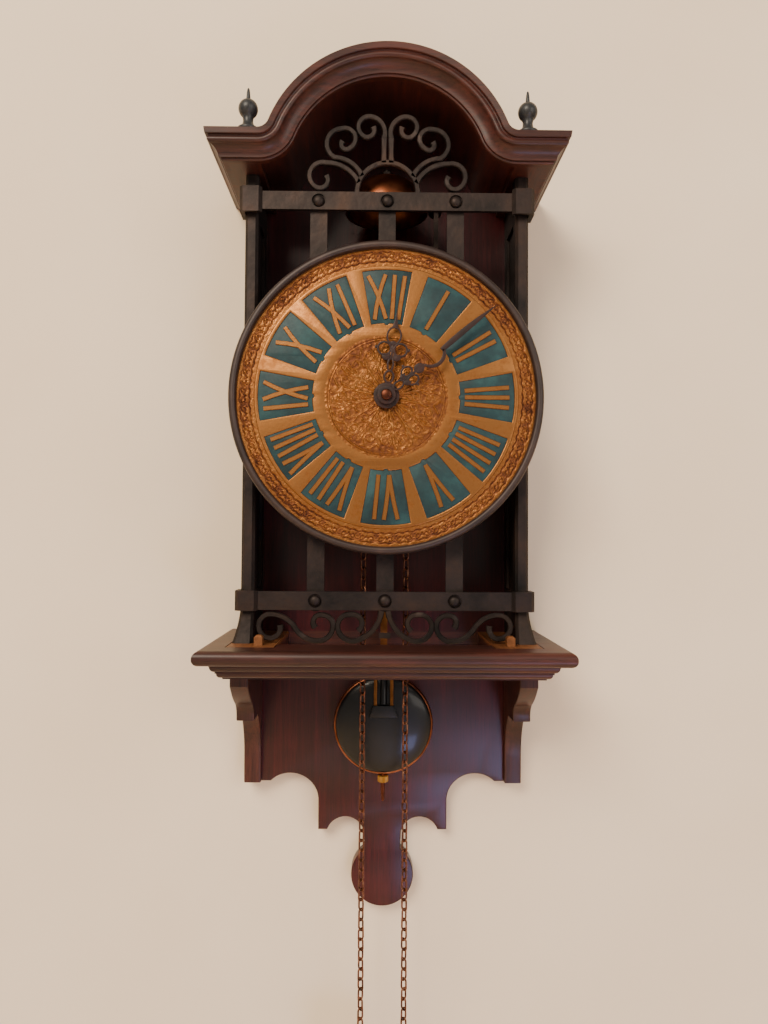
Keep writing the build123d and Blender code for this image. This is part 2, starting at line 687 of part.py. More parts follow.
def gear(teeth, module, y0, y1, x, z, bore, turn=0.0, hub=0.0, spokes=0):
    """Stub-toothed wheel with straight flanks."""
    pitch_r = teeth * module / 2
    tip_r = pitch_r + 0.8 * module
    root_r = pitch_r - 1.05 * module
    points = []
    for tooth in range(teeth):
        middle = turn + 360.0 * tooth / teeth
        for radius, part in ((root_r, -0.36), (pitch_r, -0.235), (tip_r, -0.12), (tip_r, 0.12), (pitch_r, 0.235),
                             (root_r, 0.36)):
            angle = math.radians(middle + part * 360.0 / teeth)
            points.append((radius * math.sin(angle), radius * math.cos(angle)))
    face = make_face(Polyline([*points, points[0]]))
    if spokes:
        window = Circle(root_r - 2.2) - Circle(hub + 2.0)
        for spoke in range(spokes):
            window -= Rot(0, 0, 360.0 * spoke / spokes) * Pos(0, root_r / 2) * Rectangle(2.6, root_r + 4)
        face = face - window
    if bore:
        face = face - Circle(bore)
    return upright(Pos(x, z) * face, y0, y1)


def arbor_holes():
    return [(0, GREAT_Z, 2.0), (0, DIAL_Z, 2.0), (THIRD_X, THIRD_Z, 1.5), (ESCAPE_X, ESCAPE_Z, 1.2),
            (HAMMER_X, HAMMER_Z, 1.5), (0, PIVOT_Z, PIN_R)]


def plate(y0):
    """Clock plate with a pivot hole for every arbor."""
    y1 = y0 + PLATE_T
    sheet = slab(-PLATE_HALF, PLATE_HALF, y0, y1, PLATE_LOW, PLATE_TOP + 10)
    for x, z, radius in arbor_holes():
        sheet = sheet - rod(radius + BORE_GAP, y0 - 1, y1 + 1, x, z)
    for x, z in PILLARS:
        sheet = sheet - rod(1.5, y0 - 1, y1 + 1, x, z)
    return sheet


def pivots(radius, x, z):
    """Arbor body between the plates with a pivot through each plate."""
    return rod(radius, PLATE_FRONT_Y, REAR_END, x, z)


def great_wheel():
    return gear(60, MOD_GREAT, *GREAT_Y, 0, GREAT_Z, 2.0, hub=6, spokes=5)


def great_arbor():
    """Arbor with the chain sprocket between two flanges."""
    drum = rod(12.3, CHAIN_Y - 3.2, CHAIN_Y + 3.2, 0, GREAT_Z)
    flange = rod(16.0, CHAIN_Y - 4.0, CHAIN_Y - 3.2, 0, GREAT_Z) + rod(16.0, CHAIN_Y + 3.2, CHAIN_Y + 4.0, 0, GREAT_Z)
    return pivots(2.0, 0, GREAT_Z) + drum + flange


def centre_arbor():
    """Centre arbor with its pinion; its nose carries the hands."""
    nose = rod(ARBOR_NOSE_R, MINUTE_Y - HAND_T - 2.2, PLATE_FRONT_Y, 0, DIAL_Z)
    pinion = gear(10, MOD_GREAT, GREAT_Y[0] - 1.6, GREAT_Y[1] + 1.6, 0, DIAL_Z, 0, turn=mesh_turn(60, 0, 10, 0))
    return pivots(2.0, 0, DIAL_Z) + nose + pinion


def centre_wheel():
    return gear(90, MOD_CENTRE, *CENTRE_Y, 0, DIAL_Z, 2.0, hub=5, spokes=5)


def third_arbor():
    turn = mesh_turn(90, 0, 10, heading(0, DIAL_Z, THIRD_X, THIRD_Z))
    pinion = gear(10, MOD_CENTRE, CENTRE_Y[0] - 1.4, CENTRE_Y[1] + 1.4, THIRD_X, THIRD_Z, 0, turn)
    return pivots(1.5, THIRD_X, THIRD_Z) + pinion


def third_wheel():
    return gear(80, MOD_THIRD, *THIRD_Y, THIRD_X, THIRD_Z, 1.5, hub=4, spokes=5)


def escape_arbor():
    turn = mesh_turn(80, 0, 9, heading(THIRD_X, THIRD_Z, ESCAPE_X, ESCAPE_Z))
    pinion = gear(9, MOD_THIRD, THIRD_Y[0] - 1.4, THIRD_Y[1] + 1.4, ESCAPE_X, ESCAPE_Z, 0, turn)
    return pivots(1.2, ESCAPE_X, ESCAPE_Z) + pinion


def escape_wheel():
    points = []
    for tooth in range(ESCAPE_TEETH):
        for radius, part in ((ESCAPE_R - 1.8, 0.0), (ESCAPE_R, 0.38), (ESCAPE_R, 0.5), (ESCAPE_R - 1.8, 0.62)):
            angle = math.radians((tooth + part) * 360 / ESCAPE_TEETH)
            points.append((radius * math.sin(angle), radius * math.cos(angle)))
    face = make_face(Polyline([*points, points[0]])) - Circle(1.2)
    windows = Circle(ESCAPE_R - 3.6) - Circle(4.0)
    for spoke in range(4):
        windows -= Rot(0, 0, 90 * spoke) * Pos(0, 7) * Rectangle(2.0, 16)
    return upright(Pos(ESCAPE_X, ESCAPE_Z) * (face - windows), *ESCAPE_Y)


def cannon_pinion():
    """Pinion and pipe that carry the minute hand."""
    pipe = rod(CANNON_R, MINUTE_Y - HAND_T, MINUTE_WHEEL_Y[0] - 0.4, 0, DIAL_Z)
    teeth = gear(12, MOD_CENTRE, MINUTE_WHEEL_Y[0] - 0.4, MINUTE_WHEEL_Y[1] + 0.4, 0, DIAL_Z, 0)
    return pipe + teeth - rod(ARBOR_NOSE_R + 0.02, -110, -60, 0, DIAL_Z)


def minute_wheel():
    wheel = gear(36, MOD_CENTRE, *MINUTE_WHEEL_Y, MOTION_X, MOTION_Z, 0, mesh_turn(12, 0, 36, 90))
    turn = mesh_turn(40, 0, 10, 90)
    teeth = gear(10, MOD_HOUR, HOUR_WHEEL_Y[0] - 0.3, MINUTE_WHEEL_Y[0], MOTION_X, MOTION_Z, 0, turn)
    return wheel + teeth - rod(STUD_R + BORE_GAP, -80, -60, MOTION_X, MOTION_Z)


def motion_stud():
    return rod(STUD_R, HOUR_WHEEL_Y[0] - 0.4, PLATE_FRONT_Y, MOTION_X, MOTION_Z)


def hour_wheel():
    """Hour wheel and the pipe that carries the hour hand."""
    pipe = rod(HOUR_PIPE_R, HOUR_Y - HAND_T, HOUR_WHEEL_Y[0], 0, DIAL_Z)
    wheel = gear(40, MOD_HOUR, *HOUR_WHEEL_Y, 0, DIAL_Z, 0)
    return pipe + wheel - rod(CANNON_R + BORE_GAP, -110, -60, 0, DIAL_Z)


def pillar(x, z):
    body = rod(3.0, INNER_FRONT, PLATE_BACK_Y, x, z)
    return body + rod(1.5, PLATE_FRONT_Y - 2.5, INNER_FRONT, x, z) + rod(1.5, PLATE_BACK_Y, REAR_END, x, z)


def pillar_nut(x, z):
    return upright(Pos(x, z) * (RegularPolygon(3.2, 6) - Circle(1.5)), PLATE_FRONT_Y - 2.2, PLATE_FRONT_Y)


def standoff(x, z):
    """Turned leg from the back plate to the backboard."""
    return rod(4.0, REAR_END, -BOARD_T, x, z) + rod(6.5, -BOARD_T - 2, -BOARD_T, x, z)


# escapement and pendulum


def anchor():
    """Anchor on its arbor; the pallets stand just clear of the tooth tips."""
    arbor = rod(PIN_R, PLATE_FRONT_Y, CRUTCH_Y[1], 0, PIVOT_Z)
    reach = PALLET_R * math.sin(math.radians(46))
    drop = ESCAPE_Z + PALLET_R * math.cos(math.radians(46))
    arms = Polyline((-2.4, PIVOT_Z + 3), (2.4, PIVOT_Z + 3), (reach + 2.2, drop + 2.4), (reach + 2.6, drop),
                    (reach, drop), (1.6, PIVOT_Z - 2.2), (-1.6, PIVOT_Z - 2.2), (-reach, drop),
                    (-reach - 2.6, drop), (-reach - 2.2, drop + 2.4), (-2.4, PIVOT_Z + 3))
    return arbor + upright(make_face(arms), ESCAPE_Y[0] - 0.3, ESCAPE_Y[1] + 0.3)


def crutch():
    """Crutch arm behind the back plate, with a fork round the pendulum rod."""
    arm = slab(-1.5, 1.5, *CRUTCH_Y, CRUTCH_Z, PIVOT_Z + 1) + rod(3.0, *CRUTCH_Y, 0, PIVOT_Z)
    arm = arm - rod(PIN_R, -60, -30, 0, PIVOT_Z)
    bridge = slab(-4.6, 4.6, *CRUTCH_Y, CRUTCH_Z - 2, CRUTCH_Z)
    prong = slab(2.8, 4.6, CRUTCH_Y[0], PEND_Y + 2, CRUTCH_Z - 2, CRUTCH_Z)
    return arm + bridge + both(prong)


def suspension_cock():
    """Bracket on the back plate that holds the pendulum's pin."""
    top = slab(-5, 5, REAR_END, PEND_Y + 5, PIVOT_Z + 5, PIVOT_Z + 9)
    cheek = slab(-3, 3, PEND_Y - 5, PEND_Y - 2.6, PIVOT_Z - 3, PIVOT_Z + 5)
    cheek = cheek + slab(-3, 3, PEND_Y + 2.6, PEND_Y + 5, PIVOT_Z - 3, PIVOT_Z + 5)
    return top + cheek - rod(PIN_R + BORE_GAP, -42, -25, 0, PIVOT_Z)


def suspension():
    """Pin, brass block and thin spring at the top of the pendulum."""
    pin = rod(PIN_R, PEND_Y - 5, PEND_Y + 5, 0, PIVOT_Z)
    block = slab(-3.5, 3.5, PEND_Y - 2.3, PEND_Y + 2.3, PIVOT_Z - 2.4, PIVOT_Z + 2.4)
    spring = slab(-2.5, 2.5, PEND_Y - 0.2, PEND_Y + 0.2, PIVOT_Z - 9, PIVOT_Z - 2.4)
    return pin + block + spring


def pendulum_rod():
    return slab(-2.5, 2.5, PEND_Y - 0.6, PEND_Y + 0.6, YOKE_TOP, PIVOT_Z - 9)


def pendulum_yoke():
    """Brass fork between the flat rod and the collar."""
    bridge = slab(-YOKE_X - 1.2, YOKE_X + 1.2, PEND_Y - 1.5, PEND_Y + 1.5, YOKE_TOP - 3, YOKE_TOP)
    prong = slab(YOKE_X - 1.2, YOKE_X + 1.2, PEND_Y - 1.5, PEND_Y + 1.5, COLLAR_TOP, YOKE_TOP - 3)
    return bridge + both(prong)


def pendulum_stem():
    return post(STEM_R, COLLAR_LOW + 2, YOKE_TOP - 3, 0, PEND_Y)


def bob_rod():
    """Threaded rod below the collar, through the bob to the rating nut."""
    return post(ROD_R, STEM_END, COLLAR_LOW, 0, BOB_Y)


def pendulum_collar():
    """Tapered block that joins the fork and stem above the bob."""
    edge = Polyline((-5, COLLAR_TOP), (5, COLLAR_TOP), (8, COLLAR_LOW), (-8, COLLAR_LOW), (-5, COLLAR_TOP))
    taper = upright(make_face(edge), PEND_Y - 5.5, COLLAR_BACK)
    top = slab(-7.1, 7.1, PEND_Y - 3, PEND_Y + 3, COLLAR_TOP, COLLAR_TOP + 2)
    opening = slab(-YOKE_X - 1.2, YOKE_X + 1.2, PEND_Y - 1.5, PEND_Y + 1.5, COLLAR_TOP, COLLAR_TOP + 3)
    return (taper + (top - opening)) - post(STEM_R, COLLAR_LOW + 2, -340, 0, PEND_Y)


def bob():
    """Domed bob, cut away in front for the fork and bored for the rod."""
    radius = BOB_R - RIM_W
    halves = rod(radius, BOB_Y - 20, BOB_Y + 20, 0, BOB_Z)
    for rise, side in ((DOME_FRONT, -1), (DOME_BACK, 1)):
        height = rise - RIM_HALF
        ball_r = (radius**2 + height**2) / (2 * height)
        halves = halves & Pos(0, BOB_Y + side * (rise - ball_r), BOB_Z) * Sphere(ball_r)
    collar_room = slab(-8.2, 8.2, BOB_Y - 20, COLLAR_BACK + 0.2, COLLAR_LOW - 0.2, COLLAR_TOP + 2.2)
    fork_room = slab(-7.4, 7.4, BOB_Y - 20, PEND_Y + 2.6, COLLAR_TOP, BOB_Z + BOB_R)
    return halves - post(ROD_R, -460, -360, 0, BOB_Y) - collar_room - fork_room


def bob_rim():
    """Spun copper rim round the bob."""
    inner = BOB_R - RIM_W
    outline = [(inner, BOB_Y - RIM_HALF), (inner + 0.9, BOB_Y - 2.2), (BOB_R, BOB_Y - 1.2), (BOB_R, BOB_Y + 1.2)]
    outline += [(inner + 0.9, BOB_Y + 2.2), (inner, BOB_Y + RIM_HALF)]
    return turned_y(outline, 0, BOB_Z) - post(ROD_R, -460, BOB_Z, 0, BOB_Y)


def rating_nut():
    nut = post(4.4, NUT_Z - 2.5, NUT_Z + 2.5, 0, BOB_Y)
    return nut - post(ROD_R, NUT_Z - 4, NUT_Z + 4, 0, BOB_Y)


# chain and weight

def chain_arc():
    """The chain's bend over the sprocket."""
    ring = turned_y([(CHAIN_PITCH_R - CHAIN_D / 2, CHAIN_Y - CHAIN_D / 2), (CHAIN_PITCH_R + CHAIN_D / 2, CHAIN_Y - CHAIN_D / 2),
                     (CHAIN_PITCH_R + CHAIN_D / 2, CHAIN_Y + CHAIN_D / 2), (CHAIN_PITCH_R - CHAIN_D / 2, CHAIN_Y + CHAIN_D / 2)],
                    0, SPROCKET_Z)
    return ring & slab(-20, 20, -70, -40, SPROCKET_Z, SPROCKET_Z + 20)


def chain_strand(sign):
    return post(CHAIN_D / 2, CHAIN_END_Z, SPROCKET_Z, sign * CHAIN_PITCH_R, CHAIN_Y)


def ring_y(outer, inner, x, z):
    """Flat wire ring that faces the front."""
    return rod(outer, CHAIN_Y - WIRE / 2, CHAIN_Y + WIRE / 2, x, z) - rod(inner, CHAIN_Y - 2, CHAIN_Y + 2, x, z)


def weight_hook():
    """Steel double ring between the chain's last link and the weight's loop."""
    x, z = -CHAIN_PITCH_R, CHAIN_END_Z
    upper = ring_y(4.2, 2.4, x, z - 4.2)
    return upper + ring_y(4.4, 2.6, x, z - 12.2)


def weight():
    """Turned brass-cased weight with a loop on top."""
    x, top = -CHAIN_PITCH_R, CHAIN_END_Z - HOOK_H - 3.0
    low = top - WEIGHT_H
    outline = [(0, low), (WEIGHT_R - 4, low), (WEIGHT_R, low + 3), (WEIGHT_R, top - 8), (WEIGHT_R - 3, top - 4)]
    outline += [(8, top - 2.5), (3.2, top), (1.2, top + 0.6), (0, top + 0.6)]
    loop_z = CHAIN_END_Z - HOOK_H + 0.1
    side = Plane(origin=(x - 0.7, 0, 0), x_dir=(0, 1, 0), z_dir=(1, 0, 0))
    loop = extrude(side * Pos(CHAIN_Y, loop_z) * (Circle(3.1) - Circle(1.6)), amount=1.4)
    return turned(outline, x, CHAIN_Y) + loop


def chain_ring():
    """Flat pull ring on the free end of the chain."""
    return ring_y(7.0, 5.2, CHAIN_PITCH_R, CHAIN_END_Z - 7.0)


# every node


SHAPES = {
    "crown_front": crown_front,
    "crown_sides": lambda: [crown_side(sign) for sign in ENDS],
    "hood_vault": hood_vault,
    "soffits": lambda: [hood_soffit(sign) for sign in ENDS],
    "finials": lambda: [finial(sign) for sign in ENDS],
    "backboard": backboard,
    "wall_hanger": wall_hanger,
    "apron": apron,
    "shelf_board": shelf_board,
    "shelf_moulding": shelf_moulding,
    "floor_boards": lambda: [floor_board(sign) for sign in ENDS],
    "corner_blocks": lambda: [corner_block(sign) for sign in ENDS],
    "bracket_left": lambda: bracket(-1),
    "bracket_right": lambda: bracket(1),
    "posts": lambda: [front_post(sign) for sign in ENDS],
    "side_frames": lambda: [side_frame(sign) + side_panel(sign) for sign in ENDS],
    "strap_top": lambda: strap(STRAP_TOP_Z),
    "strap_bottom": lambda: strap(STRAP_LOW_Z),
    "collars": lambda: [collar(sign, z) for sign in ENDS for z in (STRAP_TOP_Z, STRAP_LOW_Z)],
    "vertical_straps": lambda: [vertical_strap(x) for x in (-RAIL_X, 0, RAIL_X)],
    "rivets": lambda: [rivet(x, z) for x, z in RIVETS],
    "crest": crest,
    "low_scrolls": lambda: [low_scrolls(), scroll_tie()],
    "bell": bell,
    "bell_bracket": lambda: [bell_bracket(), bell_nut()],
    "hammer": hammer,
    "dial_plate": dial_plate,
    "cartouches": lambda: [cartouche(hour) for hour in range(12)],
    "medallion": medallion,
    "bezel": bezel,
    "dial_feet": lambda: [dial_foot(x, z) for x, z in DIAL_FEET],
    "hour_hand": hour_hand,
    "minute_hand": minute_hand,
    "hand_nut": hand_nut,
    "plate_front": lambda: plate(PLATE_FRONT_Y) + motion_stud(),
    "plate_back": lambda: plate(PLATE_BACK_Y),
    "pillars": lambda: [f(x, z) for f in (pillar, pillar_nut) for x, z in PILLARS],
    "standoffs": lambda: [standoff(x, z) for x, z in PILLARS],
    "great_wheel": lambda: great_arbor() + great_wheel(),
    "centre_wheel": lambda: centre_arbor() + centre_wheel(),
    "third_wheel": lambda: third_arbor() + third_wheel(),
    "escape_wheel": lambda: escape_arbor() + escape_wheel(),
    "cannon_pinion": cannon_pinion,
    "minute_wheel": minute_wheel,
    "hour_wheel": hour_wheel,
    "anchor": lambda: anchor() + crutch(),
    "suspension_cock": suspension_cock,
    "suspension": suspension,
    "pendulum_rod": pendulum_rod,
    "pendulum_yoke": lambda: pendulum_yoke() + pendulum_collar(),
    "pendulum_stem": lambda: [pendulum_stem(), bob_rod()],
    "bob": bob,
    "bob_rim": bob_rim,
    "rating_nut": rating_nut,
    "chain_arc": chain_arc,
    "chain_weight_side": lambda: chain_strand(-1),
    "chain_free_side": lambda: chain_strand(1),
    "weight_hook": weight_hook,
    "weight": weight,
    "chain_ring": chain_ring,
}

for node, make in SHAPES.items():
    save(make(), node)
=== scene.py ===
import math
import random

import bmesh
import bpy
from mathutils import Matrix, Vector, noise


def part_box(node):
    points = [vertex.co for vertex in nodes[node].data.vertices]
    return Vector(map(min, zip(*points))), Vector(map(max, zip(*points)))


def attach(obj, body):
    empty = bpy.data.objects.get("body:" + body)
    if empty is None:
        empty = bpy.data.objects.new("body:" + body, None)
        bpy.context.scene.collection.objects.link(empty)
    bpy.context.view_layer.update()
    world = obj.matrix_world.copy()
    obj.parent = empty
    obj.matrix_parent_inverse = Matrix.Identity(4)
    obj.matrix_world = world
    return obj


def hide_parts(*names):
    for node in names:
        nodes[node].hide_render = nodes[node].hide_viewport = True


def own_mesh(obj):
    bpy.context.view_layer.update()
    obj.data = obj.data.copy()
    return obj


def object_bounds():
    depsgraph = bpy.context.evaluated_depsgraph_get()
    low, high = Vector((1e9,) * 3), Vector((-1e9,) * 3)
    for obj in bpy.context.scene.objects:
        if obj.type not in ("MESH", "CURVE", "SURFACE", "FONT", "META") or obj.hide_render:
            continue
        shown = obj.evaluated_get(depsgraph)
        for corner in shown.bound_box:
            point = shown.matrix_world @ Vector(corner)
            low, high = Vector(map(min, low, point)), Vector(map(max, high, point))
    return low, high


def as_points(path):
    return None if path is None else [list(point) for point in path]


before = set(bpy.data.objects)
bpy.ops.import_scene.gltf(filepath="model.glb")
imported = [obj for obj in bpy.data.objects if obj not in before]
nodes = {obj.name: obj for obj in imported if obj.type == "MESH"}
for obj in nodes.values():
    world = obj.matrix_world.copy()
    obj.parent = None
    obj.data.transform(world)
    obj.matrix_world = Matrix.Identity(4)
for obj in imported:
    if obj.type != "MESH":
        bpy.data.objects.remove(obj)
cadBox = [list(corner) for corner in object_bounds()]
print("frame loaded:", len(nodes), "nodes")

mm = 0.001
scene = bpy.context.scene


cameraSet = {
    "place": (-6.5, -600.0, -244.0),  # mm
    "pitch": 1.88,  # degrees up
    "yaw": 0.61,  # degrees to the right
    "roll": 0.36,
    "focal": 769.0 / 1024.0,  # focal length over picture height
    "sensor": 36.0,
}


def makeCamera(settings):
    data = bpy.data.cameras.new("viewCamera")
    data.sensor_fit = "VERTICAL"
    data.sensor_height = settings["sensor"]
    data.lens = settings["focal"] * settings["sensor"]
    data.clip_start = 0.01
    camera = bpy.data.objects.new("viewCamera", data)
    scene.collection.objects.link(camera)
    turn = Matrix.Rotation(math.radians(-settings["yaw"]), 4, "Z")
    tilt = Matrix.Rotation(math.radians(90 + settings["pitch"]), 4, "X")
    lean = Matrix.Rotation(math.radians(settings["roll"]), 4, "Z")
    camera.matrix_world = Matrix.Translation(Vector(settings["place"]) * mm) @ turn @ tilt @ lean
    scene.camera = camera


makeCamera(cameraSet)
print("camera placed")


def linear(code):
    # an sRGB hex colour as the linear values a shader takes
    channels = [int(code[i:i + 2], 16) / 255 for i in (1, 3, 5)]
    values = [c / 12.92 if c <= 0.04045 else ((c + 0.055) / 1.055) ** 2.4 for c in channels]
    return (*values, 1.0)


def addNode(tree, kind, settings=None, links=None, feeds=None):
    # settings name a property, an input or a colour ramp's stops; links name an input and the socket
    # that feeds it; feeds is one output's name and the socket it goes to
    node = tree.nodes.new(kind)
    for name, value in (settings or {}).items():
        if name == "stops":
            band = node.color_ramp
            while len(band.elements) < len(value):
                band.elements.new(0.5)
            for element, (place, code) in zip(band.elements, value):
                element.position, element.color = place, linear(code)
        elif isinstance(name, str) and hasattr(node, name):
            setattr(node, name, value)
        else:
            node.inputs[name].default_value = value
    for name, socket in (links or {}).items():
        tree.links.new(socket, node.inputs[name])
    if feeds:
        tree.links.new(node.outputs[feeds[0]], feeds[1])
    return node


def newMaterial(name, roughness, metallic=0.0, coat=0.0, coatRoughness=0.1, specular=0.5):
    # gives the tree, its main shader and a socket of object coordinates in metres
    material = bpy.data.materials.new(name)
    material.use_nodes = True
    tree = material.node_tree
    shader = tree.nodes["Principled BSDF"]
    shader.inputs["Roughness"].default_value = roughness
    shader.inputs["Metallic"].default_value = metallic
    shader.inputs["Specular IOR Level"].default_value = specular
    shader.inputs["Coat Weight"].default_value = coat
    shader.inputs["Coat Roughness"].default_value = coatRoughness
    coords = addNode(tree, "ShaderNodeTexCoord").outputs["Object"]
    return material, tree, shader, coords


def cycles(widthMm):
    # texture scale whose features are about this wide, for coordinates in metres
    return 1.0 / (widthMm * mm)


woodSet = {
    "streakMm": 3.2,  # width of one streak across the grain
    "streakTimes": 26,  # streaks are this many times as long as wide
    "poreMm": 0.7,  # real ones are half as wide, too fine to show
    "poreTimes": 18,
    "cloudMm": 60,
}


def stainedWood(name, axis, stops, settings=woodSet, roughness=(0.36, 0.56), coat=0.15):
    # open-pored hardwood, stained and varnished: long streaks along one axis, fine pores, a soft even gloss
    material, tree, shader, coords = newMaterial(name, roughness[0], coat=coat, coatRoughness=0.25,
                                                 specular=0.3)
    streakScale = [cycles(settings["streakMm"])] * 3
    streakScale[axis] /= settings["streakTimes"]
    poreScale = [cycles(settings["poreMm"])] * 3
    poreScale[axis] /= settings["poreTimes"]
    streakPlace = addNode(tree, "ShaderNodeMapping", {"Scale": streakScale}, {"Vector": coords})
    porePlace = addNode(tree, "ShaderNodeMapping", {"Scale": poreScale}, {"Vector": coords})
    streak = addNode(tree, "ShaderNodeTexNoise",
                     {"Scale": 1.0, "Detail": 6.0, "Roughness": 0.62, "Distortion": 0.4},
                     {"Vector": streakPlace.outputs["Vector"]})
    pores = addNode(tree, "ShaderNodeTexNoise", {"Scale": 1.0, "Detail": 2.0},
                    {"Vector": porePlace.outputs["Vector"]})
    cloud = addNode(tree, "ShaderNodeTexNoise", {"Scale": cycles(settings["cloudMm"]), "Detail": 3.0},
                    {"Vector": coords})
    grain = addNode(tree, "ShaderNodeMix", {"data_type": "FLOAT", "Factor": 0.45},
                    {"A": streak.outputs["Fac"], "B": cloud.outputs["Fac"]})
    base = addNode(tree, "ShaderNodeValToRGB", {"stops": stops}, {"Fac": grain.outputs["Result"]})
    dark = addNode(tree, "ShaderNodeMapRange",
                   {"From Min": 0.30, "From Max": 0.46, "To Min": 0.55, "To Max": 1.0},
                   {"Value": pores.outputs["Fac"]})
    shade = addNode(tree, "ShaderNodeMix", {"data_type": "RGBA", "blend_type": "MULTIPLY", "Factor": 1.0},
                    {6: base.outputs["Color"], 7: dark.outputs["Result"]})
    tree.links.new(shade.outputs[2], shader.inputs["Base Color"])
    addNode(tree, "ShaderNodeMapRange", {"To Min": roughness[0], "To Max": roughness[1]},
            {"Value": streak.outputs["Fac"]}, ("Result", shader.inputs["Roughness"]))
    addNode(tree, "ShaderNodeBump", {"Strength": 0.25, "Distance": 0.15 * mm},
            {"Height": pores.outputs["Fac"]}, ("Normal", shader.inputs["Normal"]))
    return material


mahoganyStops = [(0.25, "#180a07"), (0.48, "#351812"), (0.62, "#4c231a"), (0.80, "#613025")]
boardStops = [(0.25, "#130204"), (0.50, "#32060a"), (0.68, "#490c11"), (0.85, "#5a171a")]
paleStops = [(0.25, "#452412"), (0.5, "#6e4120"), (0.75, "#875632")]
mahoganyAcross = stainedWood("mahoganyVarnishedAcross", 0, mahoganyStops)
mahoganyDeep = stainedWood("mahoganyVarnishedDeep", 1, mahoganyStops)
mahoganyUpright = stainedWood("mahoganyVarnishedUpright", 2, mahoganyStops)
boardUpright = stainedWood("boardStainedUpright", 2, boardStops, roughness=(0.3, 0.46), coat=0.25)
ebonyStops = [(0.25, "#16171a"), (0.6, "#2b2c2e"), (0.85, "#3d3d3c")]
ebonised = stainedWood("beechEbonised", 2, ebonyStops)
pinePlain = stainedWood("pineOiledDeep", 1, paleStops, roughness=(0.45, 0.65), coat=0.1)


def hammeredIron(name, light, dark, rust, roughness):
    # wrought iron, hammered and blackened: shallow dents, a waxy broken sheen, brown haze in the hollows
    material, tree, shader, coords = newMaterial(name, roughness[0], metallic=0.75)
    dents = addNode(tree, "ShaderNodeTexNoise", {"Scale": cycles(4.5), "Detail": 2.0, "Roughness": 0.45},
                    {"Vector": coords})
    grit = addNode(tree, "ShaderNodeTexNoise", {"Scale": cycles(0.5), "Detail": 4.0}, {"Vector": coords})
    haze = addNode(tree, "ShaderNodeTexNoise", {"Scale": cycles(24), "Detail": 5.0, "Roughness": 0.6},
                   {"Vector": coords})
    addNode(tree, "ShaderNodeValToRGB", {"stops": [(0.30, dark), (0.55, light), (0.78, rust)]},
            {"Fac": haze.outputs["Fac"]}, ("Color", shader.inputs["Base Color"]))
    addNode(tree, "ShaderNodeMapRange", {"To Min": roughness[0], "To Max": roughness[1]},
            {"Value": grit.outputs["Fac"]}, ("Result", shader.inputs["Roughness"]))
    height = addNode(tree, "ShaderNodeMix", {"data_type": "FLOAT", "Factor": 0.18},
                     {"A": dents.outputs["Fac"], "B": grit.outputs["Fac"]})
    addNode(tree, "ShaderNodeBump", {"Strength": 0.6, "Distance": 0.6 * mm},
            {"Height": height.outputs["Result"]}, ("Normal", shader.inputs["Normal"]))
    return material


ironWaxed = hammeredIron("wroughtIronBlackened", "#302724", "#1a1716", "#3f2e26", (0.42, 0.64))


metalSet = {
    "lineMm": 0.8,  # real brush lines are a quarter as wide, too fine to show
    "lineTimes": 30,  # lines are this many times as long as wide
    "lineBump": 0.12,
}


def wornMetal(name, stops, roughness, axis=None, cloudMm=12, metallic=1.0, settings=metalSet):
    # metal whose lacquer has dulled in clouds; fine lines along one axis where it was brushed or turned
    material, tree, shader, coords = newMaterial(name, roughness[0], metallic=metallic)
    scale = [cycles(settings["lineMm"])] * 3
    if axis is not None:
        scale[axis] /= settings["lineTimes"]
    place = addNode(tree, "ShaderNodeMapping", {"Scale": scale}, {"Vector": coords})
    lines = addNode(tree, "ShaderNodeTexNoise", {"Scale": 1.0, "Detail": 3.0},
                    {"Vector": place.outputs["Vector"]})
    cloud = addNode(tree, "ShaderNodeTexNoise", {"Scale": cycles(cloudMm), "Detail": 5.0, "Roughness": 0.6},
                    {"Vector": coords})
    addNode(tree, "ShaderNodeValToRGB", {"stops": stops}, {"Fac": cloud.outputs["Fac"]},
            ("Color", shader.inputs["Base Color"]))
    both = addNode(tree, "ShaderNodeMix", {"data_type": "FLOAT", "Factor": 0.5},
                   {"A": lines.outputs["Fac"], "B": cloud.outputs["Fac"]})
    addNode(tree, "ShaderNodeMapRange", {"To Min": roughness[0], "To Max": roughness[1]},
            {"Value": both.outputs["Result"]}, ("Result", shader.inputs["Roughness"]))
    addNode(tree, "ShaderNodeBump", {"Strength": settings["lineBump"], "Distance": 0.08 * mm},
            {"Height": lines.outputs["Fac"]}, ("Normal", shader.inputs["Normal"]))
    return material


brassStops = [(0.3, "#7a5423"), (0.55, "#ab7f3b"), (0.8, "#c9a058")]
tarnishStops = [(0.3, "#553219"), (0.55, "#7c4f29"), (0.8, "#996a3e")]
spunStops = [(0.3, "#6b4b20"), (0.55, "#86622d"), (0.8, "#98753b")]
bellStops = [(0.3, "#4c2a1c"), (0.55, "#75432c"), (0.8, "#955c3f")]
copperStops = [(0.3, "#6a3c2a"), (0.55, "#96593e"), (0.8, "#b87a5c")]
dullStops = [(0.3, "#3a211a"), (0.55, "#5e3628"), (0.8, "#7e4c38")]
steelStops = [(0.3, "#5c5b5a"), (0.55, "#86868a"), (0.8, "#a5a5a8")]
chainStops = [(0.3, "#42291f"), (0.55, "#734a39"), (0.8, "#a17a62")]
bronzeStops = [(0.3, "#241b19"), (0.55, "#352825"), (0.8, "#4a3831")]
brassBrushed = wornMetal("brassBrushedTarnished", tarnishStops, (0.32, 0.52), axis=2)
brassTurned = wornMetal("brassTurned", brassStops, (0.25, 0.42), axis=1)
brassPlate = wornMetal("brassRolled", brassStops, (0.3, 0.5), axis=0)
bellCopper = wornMetal("bellBronzeCoppered", bellStops, (0.26, 0.44), cloudMm=18)
copperSpun = wornMetal("copperSpun", copperStops, (0.24, 0.42), axis=1)
